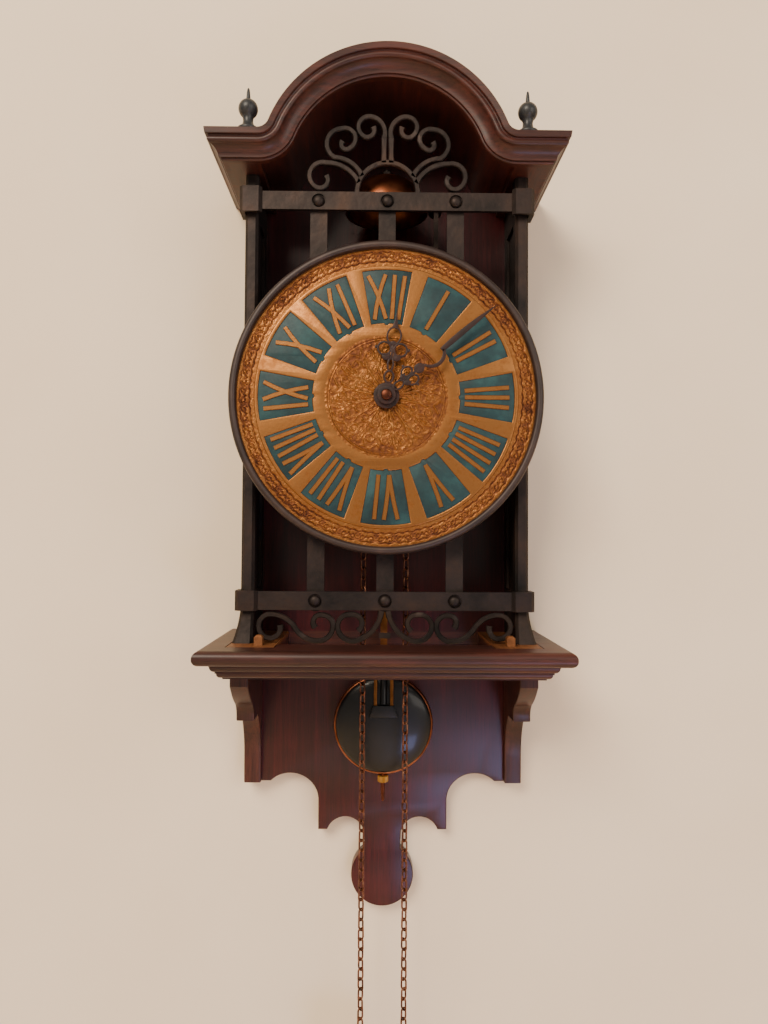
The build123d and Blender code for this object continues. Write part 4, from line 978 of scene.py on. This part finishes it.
def lowRoutes(top, low):
    # between the lower strap and the shelf, on each side: an S and a hook that meets its twin in the middle
    crown, foot = top - 2.9, low + 1.6
    double = [(70.5, top - 10.2), (71.5, foot + 4.6), (76.4, foot + 1.6), (84.9, top - 11.4), (75.7, crown),
              (66.5, crown - 3), (60.5, crown - 8.8), (54.5, foot + 2.6), (45.9, foot), (37.2, foot + 3.4),
              (34.8, crown - 7.8), (37.0, crown - 2.4), (42.0, crown - 0.4), (48.0, crown - 3.8),
              (46.8, crown - 9)]
    hook = [(17.8, crown - 11), (15.4, crown - 5.0), (22.4, crown), (30.0, crown - 3), (31.7, crown - 9),
            (28.0, foot + 2.2), (19.6, foot), (9.5, foot + 5.6), (2.2, top - 0.4)]
    return chainArcs(double, 8), chainArcs(hook, 8)


def makeIronwork(settings):
    base = settings["strapTop"] + settings["strapHigh"] / 2
    crest = joined("crestScrolls", makeScrolls(crestRoutes(base), settings))
    addPiece("crestScrolls", crest, ironWaxed, "case", ["crest"], sharp=40)
    top, low = settings["strapLow"] - settings["strapHigh"] / 2, settings["floor"]
    z = low + 5.5
    tie = barAlong("tie", [(-3.8, z), (-1.2, z + 0.1), (1.2, z), (3.8, z)], lambda along: 3.8,
                   settings["strapFront"] - 1.0, settings["strapFront"] + 0.1, 0.3)
    meshes = makeScrolls(lowRoutes(top, low), settings) + [tie]
    addPiece("lowScrolls", joined("lowScrolls", meshes), ironWaxed, "case", ["low_scrolls"], sharp=40)


makeCage(cageSet)
makeRivets(cageSet)
makeIronwork(cageSet)
print("cage made")


def makeBell():
    low, high = boxOf("bell")
    radius = (high[0] - low[0]) / 2
    x, y = (low[0] + high[0]) / 2, (low[1] + high[1]) / 2
    rim, top = low[2], high[2]
    rise, wall = top - rim, 1.6
    outer = [(radius * math.cos(t), rim + rise * math.sin(t)) for t in [math.radians(90 * k / 30) for k in range(30)]]
    inner = [((radius - wall) * math.cos(t), rim + (rise - wall) * math.sin(t))
             for t in [math.radians(90 * k / 24) for k in range(24)]]
    profile = outer + [(2.0, top), (2.0, top - wall)] + inner[::-1] + [(radius - 0.8, rim), (radius, rim)]
    return addPiece("bell", lathe("bell", profile, (x, y, 0), "Z", 96), bellCopper, "case", ["bell"], sharp=50)


makeBell()
finish("hammer", ironWaxed)
softEdges("hammer", 0.3)


dialSet = {
    "z": -150.5,
    "face": -90.0,
    "unit": 105 / 158,  # the bezel's outer radius is 158 units
    "bore": 4.2,
    "windowIn": 49.4,
    "windowOut": 85.4,
    "windowTurn": (12.0, 11.2),  # half angle at the inner and the outer end
    "framePlate": (-91.5, -90.1),
    "enamel": (-90.8, -90.0),
    "numeral": (-91.6, -90.7),
    "numeralIn": 52.3,
    "numeralOut": 82.0,
    "strokeWide": 3.0,
    "ornament": (88.4, 99.6),
    "ornamentUnits": 48,
    "medalRadius": 41.2,
    "medalSectors": 8,
}


def onDial(radius, degrees, settings=dialSet):
    # clockwise from the top
    t = math.radians(degrees)
    return radius * math.sin(t), settings["z"] + radius * math.cos(t)


def windowOutline(hour, settings, grow=0.0):
    # one hour's opening, with a small cusp at the middle of its inner edge
    inner, outer = settings["windowIn"] - grow, settings["windowOut"] + grow
    low, high = (turn + math.degrees(grow / 65) for turn in settings["windowTurn"])
    mid = 30 * hour
    edge = [onDial(inner, mid - low + low * k / 5) for k in range(5)]
    edge += [onDial(inner + 0.2, mid - 2.2), onDial(inner - 1.1, mid - 0.9), onDial(inner - 1.1, mid + 0.9),
             onDial(inner + 0.2, mid + 2.2)]
    edge += [onDial(inner, mid + low * k / 5) for k in range(1, 6)]
    edge += [onDial(outer, mid + high - 2 * high * k / 12) for k in range(13)]
    return edge


romanStrokes = {
    "I": (3.6, [((0, 0), (0, 1))]),
    "V": (10.4, [((-3.7, 1), (0, 0)), ((3.7, 1), (0, 0))]),
    "X": (12.0, [((-4.7, 1), (4.7, 0)), ((4.7, 1), (-4.7, 0))]),
}
romanHours = ["XII", "I", "II", "III", "IIII", "V", "VI", "VII", "VIII", "IX", "X", "XI"]


def makeNumerals(settings):
    inner, outer = settings["numeralIn"], settings["numeralOut"]
    gap = 1.9
    meshes = []
    y0, y1 = settings["numeral"]
    for hour, letters in enumerate(romanHours):
        widths = [romanStrokes[letter][0] for letter in letters]
        total = sum(widths) + gap * (len(letters) - 1)
        squeeze = min(1.0, 24.0 / total)
        start = -total / 2
        for letter, width in zip(letters, widths):
            middle = start + width / 2
            start += width + gap
            for k, stroke in enumerate(romanStrokes[letter][1]):
                route = []
                for step in range(5):
                    (xa, va), (xb, vb) = stroke
                    x = (middle + xa + (xb - xa) * step / 4) * squeeze
                    v = va + (vb - va) * step / 4
                    route.append(onDial(inner + (outer - inner) * v, 30 * hour + math.degrees(x / 66)))
                meshes.append(barAlong("stroke", route, lambda along: settings["strokeWide"], y0 - 0.03 * k, y1, 0.35))
    return addPiece("dialNumerals", joined("dialNumerals", meshes), giltNumeral, "case", [], sharp=30)


def makeFrame(settings):
    ring = [onDial(settings["ornament"][0] - 0.3, 360 * k / 240) for k in range(240)]
    hole = [onDial(settings["medalRadius"] - 1.0, -360 * k / 120) for k in range(120)]
    windows = [windowOutline(hour, settings) for hour in range(12)]
    mesh = plateFrom("dialFrame", [ring, hole] + windows, *settings["framePlate"], 0.7, 3)
    addPiece("dialFrame", mesh, giltFrame, "case", [], sharp=30)
    panels = [plateFrom("enamel", [windowOutline(hour, settings, 0.5)], *settings["enamel"], 0.1, 1) for hour in range(12)]
    addPiece("dialEnamels", joined("dialEnamels", panels), tealEnamel, "case", ["cartouches"], sharp=30)


def nearest(point, routes):
    # shortest distance from a point to any of the routes' runs
    best = 1e9
    px, py = point
    for route in routes:
        for (ax, ay), (bx, by) in zip(route, route[1:]):
            dx, dy = bx - ax, by - ay
            t = ((px - ax) * dx + (py - ay) * dy) / (dx * dx + dy * dy)
            t = min(1.0, max(0.0, t))
            gapX, gapY = px - ax - dx * t, py - ay - dy * t
            best = min(best, gapX * gapX + gapY * gapY)
    return math.sqrt(best)


def spiral(cx, cy, start, radius, turn, sweep, steps=14):
    # a scroll that winds in from a start angle; turn is +1 or -1
    run = []
    for k in range(steps + 1):
        t = math.radians(start + turn * sweep * k / steps)
        r = radius * (1 - 0.72 * k / steps)
        run.append((cx + r * math.cos(t), cy + r * math.sin(t)))
    return run


def reliefAt(routes, point, width, rise):
    return rise * math.exp(-(nearest(point, routes) / width) ** 2)


def makeDialPlate(settings):
    # flat cast plate whose outer band carries a chased ring of paired scrolls and leaves
    inner, outer = settings["ornament"]
    middle, units, perUnit = (inner + outer) / 2, settings["ornamentUnits"], 15
    face = settings["face"]
    half = math.pi * middle / units
    motif = [spiral(-half * 0.46, 0.9, -60, 2.5, 1, 430), [(-half, 3.4), (-half * 0.6, 3.9), (-half * 0.2, 3.1)],
             [(-half, -2.6), (-half * 0.5, -3.3), (0.1, -2.2)], [(0, -1.6), (0.15, 1.4)],
             [(-0.9, 3.2), (0, 1.9)], [(-half, -0.4), (-half + 0.9, 0.8)]]
    motif += [[(-x, y) for x, y in route] for route in motif]
    radii = [settings["bore"], 20, 40, 60, 80, inner - 0.6]
    radii += [inner + (outer - inner) * k / 26 for k in range(27)] + [outer + 1, 102.6]
    lifts = {}
    for k in range(perUnit):
        u = (k / perUnit * 2 - 1) * half
        for radius in radii:
            if inner < radius < outer:
                lift = 0.8 - reliefAt(motif, (u * radius / middle, radius - middle), 0.5, 0.6)
            elif radius < inner - 1:
                lift = 0.1  # lies under the frame and the enamels
            else:
                lift = 0.8
            lifts[k, radius] = lift
    points = []
    segments = units * perUnit
    for k in range(segments):
        degrees = 360 * k / segments
        for radius in radii:
            x, z = onDial(radius, degrees)
            wear = 0.12 * noise.noise(Vector((x * 0.9, z * 0.9, 1.7))) if inner <= radius <= outer else 0.0
            points.append((x, face - lifts[k % perUnit, radius] - wear, z))
        for radius in (102.6, settings["bore"]):
            x, z = onDial(radius, degrees)
            points.append((x, face + 1, z))
    faces = gridFaces(segments, len(radii) + 2, wrapRows=True, wrapColumns=True)
    mesh = meshFrom("dialPlate", points, faces)
    return addPiece("dialPlate", mesh, giltPlate, "case", ["dial_plate"], sharp=0)


def medalRoutes():
    # one half of a sector in (along, outward) millimetres: stem, leaves and two opposed scrolls
    def polar(radius, degrees):
        t = math.radians(degrees)
        return radius * math.sin(t), radius * math.cos(t)

    cx, cy = polar(19.5, 11.5)
    dx, dy = polar(30.0, 12.5)
    half = [[polar(8.5, 0), polar(16, 0.4), polar(22.5, 0)], spiral(cx, cy, 200, 3.4, -1, 420),
            [polar(9.5, 4), polar(13, 7.5), polar(16.2, 9)], spiral(dx, dy, 120, 4.1, 1, 430),
            [polar(22.8, 22.5), polar(26, 20), polar(29, 19.5)], [polar(24, 0), polar(28, 3.4), polar(32, 2.2), polar(35.5, 0)],
            [polar(10, 22.5), polar(17, 21.6), polar(23, 22.5)], [polar(32, 22.5), polar(34.6, 18.5), polar(36.4, 15)],
            [polar(25, 0), polar(33, 0)], [polar(13, 14), polar(14.6, 18)], [polar(35.8, 9.5), polar(36.6, 5.5)],
            [polar(27, 8.2), polar(24.6, 5.6)]]
    return half + [[(-x, y) for x, y in route] for route in half]


def makeMedallion(settings):
    # domed centre with a beaded rim line and a chased pattern of leaves and scrolls, repeated round the hub
    sectors, rim, face = settings["medalSectors"], settings["medalRadius"], settings["face"]
    perSector, rings = 46, 74
    routes = medalRoutes()
    radii = [settings["bore"] + (rim - settings["bore"]) * k / rings for k in range(rings + 1)]
    lifts = {}
    for k in range(perSector):
        t = math.radians(360 / sectors * (k / perSector - 0.5))
        for j, radius in enumerate(radii):
            lift = 1.2 + 0.3 * math.cos(math.radians(90 * radius / rim))
            if 7 < radius < 37.6:
                lift += reliefAt(routes, (radius * math.sin(t), radius * math.cos(t)), 0.6, 0.62)
            lift += 0.5 * math.exp(-((radius - 38.4) / 0.4) ** 2) + 0.35 * math.exp(-((radius - 7.0) / 0.5) ** 2)
            lift += 0.32 * min(1.0, max(0.0, (radius - 39.2) / 0.5))
            tie = math.exp(-(math.degrees(t) * radius / 57.3 / 0.8) ** 2 - ((radius - 38.7) / 1.5) ** 2)
            lifts[k, j] = lift + 0.5 * tie
    points = []
    for k in range(sectors * perSector):
        degrees = 360 * k / (sectors * perSector) + 11
        for j, radius in enumerate(radii):
            x, z = onDial(radius, degrees)
            wear = 0.22 * noise.noise(Vector((x * 0.55, z * 0.55, 4.2)))
            points.append((x, face - lifts[k % perSector, j] - wear, z))
        for radius in (rim + 0.4, settings["bore"]):
            x, z = onDial(radius, degrees)
            points.append((x, face, z))
    faces = gridFaces(sectors * perSector, len(radii) + 2, wrapRows=True, wrapColumns=True)
    return addPiece("dialMedallion", meshFrom("dialMedallion", points, faces), giltMedal, "case", ["medallion"],
                    sharp=0)


def makeBezel(settings):
    face = settings["face"]
    profile = [(99.7, face), (99.7, face - 1.6)] + throughThree((99.9, face - 2.4), (100.7, face - 4.2), (102.3, face - 4.6), 6)
    profile += throughThree((102.3, face - 4.6), (104.3, face - 3.6), (105, face - 1.2), 6)[1:]
    profile += [(105, face + 4.6), (104.5, face + 5), (103.8, face + 4.6), (103.8, face + 1), (102.7, face + 1), (102.7, face)]
    mesh = lathe("dialBezel", profile + [profile[0]], (0, 0, settings["z"]), "Y", 192)
    return addPiece("dialBezel", mesh, bezelBronze, "case", ["bezel"], sharp=40)


makeDialPlate(dialSet)
makeFrame(dialSet)
makeNumerals(dialSet)
makeMedallion(dialSet)
makeBezel(dialSet)
print("dial made")

handSet = {
    "hourTurn": 7.0,
    "minuteTurn": 50.3,
    "hour": (-95.8, -94.8),
    "minute": (-98.4, -97.4),
    "wire": 1.25,  # width of the pierced work's bars
}


def ovalOf(cx, cz, rx, rz, steps=40):
    return [(cx + rx * math.cos(2 * math.pi * k / steps), cz + rz * math.sin(2 * math.pi * k / steps))
            for k in range(steps)]


def hoop(cx, cz, rx, rz, wire, deep):
    # a pierced loop: outline and hole
    outer = ovalOf(cx, cz, rx, rz)
    return plateFrom("hoop", [outer, ovalOf(cx, cz, rx - wire, rz - wire)[::-1]], *deep, 0.18, 1)


def makeHand(name, parts, deep, turn, body, node):
    # parts are closed outlines or ready meshes, drawn pointing up from the hub
    meshes = []
    for k, part in enumerate(parts):
        mesh = part if isinstance(part, bpy.types.Mesh) else plateFrom("blade", [part], deep[0] + 0.02, deep[1] - 0.01 * k, 0.2, 1)
        meshes.append(mesh)
    whole = joined(name, meshes)
    spin = Matrix.Rotation(math.radians(turn), 4, "Y")
    whole.transform(Matrix.Translation(Vector((0, 0, dialSet["z"] * mm))) @ spin)
    return addPiece(name, whole, handsJapan, body, [node], sharp=35)


def makeHands(settings):
    wire, deep = settings["wire"], settings["hour"]
    hub = plateFrom("hub", [ovalOf(0, 0, 8.6, 8.6, 60), ovalOf(0, 0, 3.45, 3.45, 30)[::-1]], *deep, 0.25, 2)
    parts = [hub, hoop(0, 12.6, 3.6, 4.6, wire, deep), hoop(0, 40.0, 5.2, 6.4, wire, deep)]
    for side in (-1, 1):
        parts.append(hoop(side * 5.4, 31.0, 4.9, 4.9, wire, deep))
        parts.append(ovalOf(side * 10.8, 31.4, 1.1, 1.1, 14))
        parts.append([(side * x, z) for x, z in throughThree((1.0, 24.6), (3.6, 23.2), (6.4, 26.4), 6)
                      + throughThree((5.0, 28.0), (2.6, 27.6), (1.0, 30.0), 5)])
        parts.append([(side * x, z) for x, z in ((0.4, 16.4), (1.7, 16.4), (2.6, 21.0), (1.6, 25.4), (0.4, 25.4), (1.3, 21.0))])
    parts.append([(-0.8, 24), (0.8, 24), (0.8, 34.4), (-0.8, 34.4)])
    parts.append(throughThree((-2.2, 45.0), (-0.95, 51), (0, 62), 8) + throughThree((0, 62), (0.95, 51), (2.2, 45.0), 8)[1:])
    parts.append(throughThree((-3.0, 33.6), (0, 36.6), (3.0, 33.6), 6))
    makeHand("hourHand", parts, deep, settings["hourTurn"], "hour_train", "hour_hand")
    deep = settings["minute"]
    hub = plateFrom("hub", [ovalOf(0, 0, 6.2, 6.2, 60), ovalOf(0, 0, 2.45, 2.45, 30)[::-1]], *deep, 0.25, 2)
    parts = [hub, hoop(0, 10.2, 3.0, 4.6, wire, deep)]
    for side in (-1, 1):
        parts.append(hoop(side * 3.5, 20.0, 3.6, 4.4, wire, deep))
        parts.append(ovalOf(side * 7.6, 20.4, 0.95, 0.95, 14))
        parts.append([(side * x, z) for x, z in throughThree((0.3, 14.0), (2.6, 13.6), (4.4, 16.6), 6)
                      + throughThree((3.4, 18.4), (1.4, 17.8), (0.3, 19.0), 5)])
        parts.append([(side * x, z) for x, z in throughThree((0.4, 24.0), (3.2, 27.0), (0.6, 31.6), 8)])
    parts.append([(-0.75, 14), (0.75, 14), (0.75, 32), (-0.75, 32)])
    parts.append(throughThree((0.3, 31.0), (5.9, 35.6), (1.9, 49.0), 14) + throughThree((-0.6, 47.8), (4.1, 37.0), (0.3, 32.8), 14))
    parts.append(throughThree((-1.5, 47.0), (-2.3, 60), (0, 94.5), 14) + throughThree((0, 94.5), (1.3, 70), (1.6, 47.0), 14)[1:])
    makeHand("minuteHand", parts, deep, settings["minuteTurn"], "hands_train", "minute_hand")


makeHands(handSet)
print("hands made")

pendulumSet = {
    "bobZ": -381.0,
    "bobY": -30.0,
    "radius": 36.5,
    "rim": 1.8,
    "front": 8.5,
    "back": 4.4,
    "yokeTop": -336.0,
    "prongX": 5.9,
    "collar": (-365.5, -374.0),
}


def makeBob(settings):
    radius, y, rim = settings["radius"] - settings["rim"], settings["bobY"], 1.9
    front = [(radius * math.cos(t), y - rim - (settings["front"] - rim) * math.sin(t))
             for t in [math.radians(90 * k / 20) for k in range(21)]]
    back = [(radius * math.cos(t), y + rim + (settings["back"] - rim) * math.sin(t))
            for t in [math.radians(90 * k / 12) for k in range(12, -1, -1)]]
    shell = lathe("bob", front + back + [front[0]], (0, 0, settings["bobZ"]), "Y", 128)
    addPiece("bobShell", shell, bobEnamel, "pendulum", ["bob"], sharp=50)
    edge = settings["radius"]
    ring = [(radius - 0.3, y - 2.0), (radius + 0.4, y - 2.5)] + throughThree((radius + 0.7, y - 2.4), (edge, y), (radius + 0.7, y + 2.4), 8)
    ring += [(radius + 0.4, y + 2.5), (radius - 0.3, y + 2.0)]
    addPiece("bobRim", lathe("bobRim", ring + [ring[0]], (0, 0, settings["bobZ"]), "Y", 128), copperSpun, "pendulum",
             ["bob_rim"], sharp=50)


def makeFork(settings):
    # brass fork on the flat rod; its prongs lean forward over the dome to the dark collar that holds the stem
    top, (high, low), x = settings["yokeTop"], settings["collar"], settings["prongX"]
    meshes = [plateFrom("bridge", [[(-x - 1.3, top - 3.2), (x + 1.3, top - 3.2), (x + 1.3, top), (-x - 1.3, top)]],
                        -36.6, -33.4, 0.35, 2)]
    for side in (-1, 1):
        outline = [(-36.5, top - 2.6), (-40.4, high - 0.5), (-37.6, high - 0.5), (-33.5, top - 2.6)]
        low0, high0 = sorted((side * (x - 1.25), side * (x + 1.25)))
        meshes.append(plateFrom("prong", [outline], low0, high0, 0.35, 2, plane="side"))
    addPiece("pendulumFork", joined("pendulumFork", meshes), brassBrushed, "pendulum", ["pendulum_yoke"], sharp=35)
    wedge = [(-7.4, high), (7.4, high), (10.4, low), (-10.4, low)]
    collar = plateFrom("pendulumCollar", [wedge], -41.6, -35.5, 0.5, 2)
    addPiece("pendulumCollar", collar, bobEnamel, "pendulum", [], sharp=35)
    stem = [(0, top - 3.4), (2.2, top - 3.4), (2.4, top - 3.8), (2.4, high + 0.4), (0, high + 0.4)]
    mesh = lathe("pendulumStem", stem, (0, 0, 0), "Z", 32)
    lean = Matrix.Rotation(math.radians(-7.0), 4, "X")
    pivot = Vector((0, -35.0, top)) * mm
    mesh.transform(Matrix.Translation(Vector((0, -35.0, 0)) * mm))
    mesh.transform(Matrix.Translation(pivot) @ lean @ Matrix.Translation(-pivot))
    addPiece("pendulumStem", mesh, bobEnamel, "pendulum", ["pendulum_stem"], sharp=35)
    z = settings["bobZ"] - settings["radius"]
    rod = [(0, z + 4), (1.6, z + 4), (1.6, z - 14), (1.3, z - 14.6), (1.3, z - 18), (0.7, z - 19.5), (0, z - 19.5)]
    addPiece("bobRod", lathe("bobRod", rod, (0, settings["bobY"], 0), "Z", 24), copperDull, "pendulum", [], sharp=35)


def makeRatingNut(settings):
    low, high = boxOf("rating_nut")
    radius, z0, z1 = (high[0] - low[0]) / 2 - 0.5, low[2], high[2]
    profile = [(1.6, z0), (radius - 0.6, z0), (radius, z0 + 0.6), (radius, z1 - 0.6), (radius - 0.6, z1), (1.6, z1)]
    points, teeth = [], 28
    for k in range(teeth * 2):
        t = math.pi * k / teeth
        for radius, z in profile:
            r = radius - (0.22 if k % 2 and radius > 2 else 0)
            points.append((r * math.cos(t), settings["bobY"] + r * math.sin(t), z))
    faces = gridFaces(teeth * 2, len(profile), wrapRows=True, wrapColumns=True)
    addPiece("ratingNut", meshFrom("ratingNut", points, faces), brassTurned, "pendulum", ["rating_nut"], sharp=25)


makeBob(pendulumSet)
makeFork(pendulumSet)
makeRatingNut(pendulumSet)
print("pendulum made")

for node in ("plate_front", "plate_back"):
    finish(node, brassPlate)
    softEdges(node, 0.2)
turnedNodes = ("great_wheel", "centre_wheel", "third_wheel", "escape_wheel", "minute_wheel", "hour_wheel", "cannon_pinion",
               "suspension_cock", "suspension", "dial_feet", "pillars", "standoffs")
for node in turnedNodes:
    finish(node, brassTurned)
finish("pendulum_rod", brassBrushed)
finish("anchor", steelGround)
nutLow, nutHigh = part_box("hand_nut")
nutAxis = [(nutLow[0] + nutHigh[0]) / 2 / mm, 0, (nutLow[2] + nutHigh[2]) / 2 / mm]
nutFront, nutBack = nutLow[1] / mm, nutHigh[1] / mm
nutProfile = [(2.5, nutBack), (3.4, nutBack), (3.6, nutBack - 0.3), (3.6, nutFront + 0.7)]
nutProfile += [(3.6 * math.cos(math.radians(a)), nutFront + 0.7 - 1.1 * math.sin(math.radians(a))) for a in range(15, 91, 15)]
addPiece("handNutDome", lathe("handNutDome", nutProfile, nutAxis, "Y", 48), copperDull, "hands_train", ["hand_nut"],
         sharp=50)
softEdges("pendulum_rod", 0.15)
print("movement finished")

stageSet = {
    "wall": "#f6e3c8",
    "wallSize": 3.2,
    "behind": 0.0008,  # the wall stands this far behind the case, in metres
    "floorDrop": 0.35,
    "lights": {  # place in metres, power in watts, size in metres, colour
        "key": ((-0.9, -1.9, 1.1), 72.0, 1.1, "#fff0da"),
        "fill": ((1.3, -1.6, 0.3), 17.0, 1.2, "#fff6ea"),
        "low": ((0.4, -1.15, -0.98), 4.0, 0.32, "#a9b8ff"),
    },
    "world": 0.45,
}


def limeWashed(name, code):
    # limewashed plaster: matt, faintly cloudy; its back face, and all of it at contact range, lets light through,
    # so that the case can be seen from behind
    material, tree, shader, coords = newMaterial(name, 0.9)
    cloud = addNode(tree, "ShaderNodeTexNoise", {"Scale": cycles(180), "Detail": 5.0}, {"Vector": coords})
    grit = addNode(tree, "ShaderNodeTexNoise", {"Scale": cycles(2.5), "Detail": 3.0}, {"Vector": coords})
    addNode(tree, "ShaderNodeValToRGB", {"stops": [(0.2, "#eed8bb"), (0.8, code)]}, {"Fac": cloud.outputs["Fac"]},
            ("Color", shader.inputs["Base Color"]))
    addNode(tree, "ShaderNodeBump", {"Strength": 0.15, "Distance": 0.4 * mm}, {"Height": grit.outputs["Fac"]},
            ("Normal", shader.inputs["Normal"]))
    geometry = addNode(tree, "ShaderNodeNewGeometry")
    path = addNode(tree, "ShaderNodeLightPath")
    near = addNode(tree, "ShaderNodeMath", {"operation": "LESS_THAN", 1: 4 * mm}, {0: path.outputs["Ray Length"]})
    letThrough = addNode(tree, "ShaderNodeMath", {"operation": "MAXIMUM"},
                    {0: geometry.outputs["Backfacing"], 1: near.outputs["Value"]})
    clear = addNode(tree, "ShaderNodeBsdfTransparent")
    addNode(tree, "ShaderNodeMixShader",
            links={0: letThrough.outputs["Value"], 1: shader.outputs["BSDF"], 2: clear.outputs["BSDF"]},
            feeds=("Shader", tree.nodes["Material Output"].inputs["Surface"]))
    return material


def makeStage(settings):
    size, back = settings["wallSize"], settings["behind"]
    floorZ = cadBox[0][2] - settings["floorDrop"]
    wall = bpy.data.meshes.new("wall")
    wall.from_pydata([(-size, back, floorZ), (size, back, floorZ), (size, back, size), (-size, back, size)], [],
                     [(0, 1, 2, 3)])
    floor = bpy.data.meshes.new("floor")
    floor.from_pydata([(-size, back, floorZ), (size, back, floorZ), (size, -size, floorZ), (-size, -size, floorZ)], [],
                      [(0, 3, 2, 1)])
    plaster = limeWashed("plasterLimewashed", settings["wall"])
    for mesh in (wall, floor):
        mesh.materials.append(plaster)
        backdrop = bpy.data.objects.new(mesh.name, mesh)
        scene.collection.objects.link(backdrop)
    for name, (place, power, extent, tint) in settings["lights"].items():
        lamp = bpy.data.lights.new(name, "AREA")
        lamp.energy, lamp.size = power, extent
        lamp.color = linear(tint)[:3]
        light = bpy.data.objects.new(name, lamp)
        light.location = place
        light.rotation_euler = (Vector((0, 0, -0.2)) - light.location).to_track_quat("-Z", "Y").to_euler()
        scene.collection.objects.link(light)
    world = bpy.data.worlds.new("room")
    world.use_nodes = True
    background = world.node_tree.nodes["Background"]
    background.inputs["Color"].default_value = linear("#e9e3da")
    background.inputs["Strength"].default_value = settings["world"]
    scene.world = world


makeStage(stageSet)
print("room made")
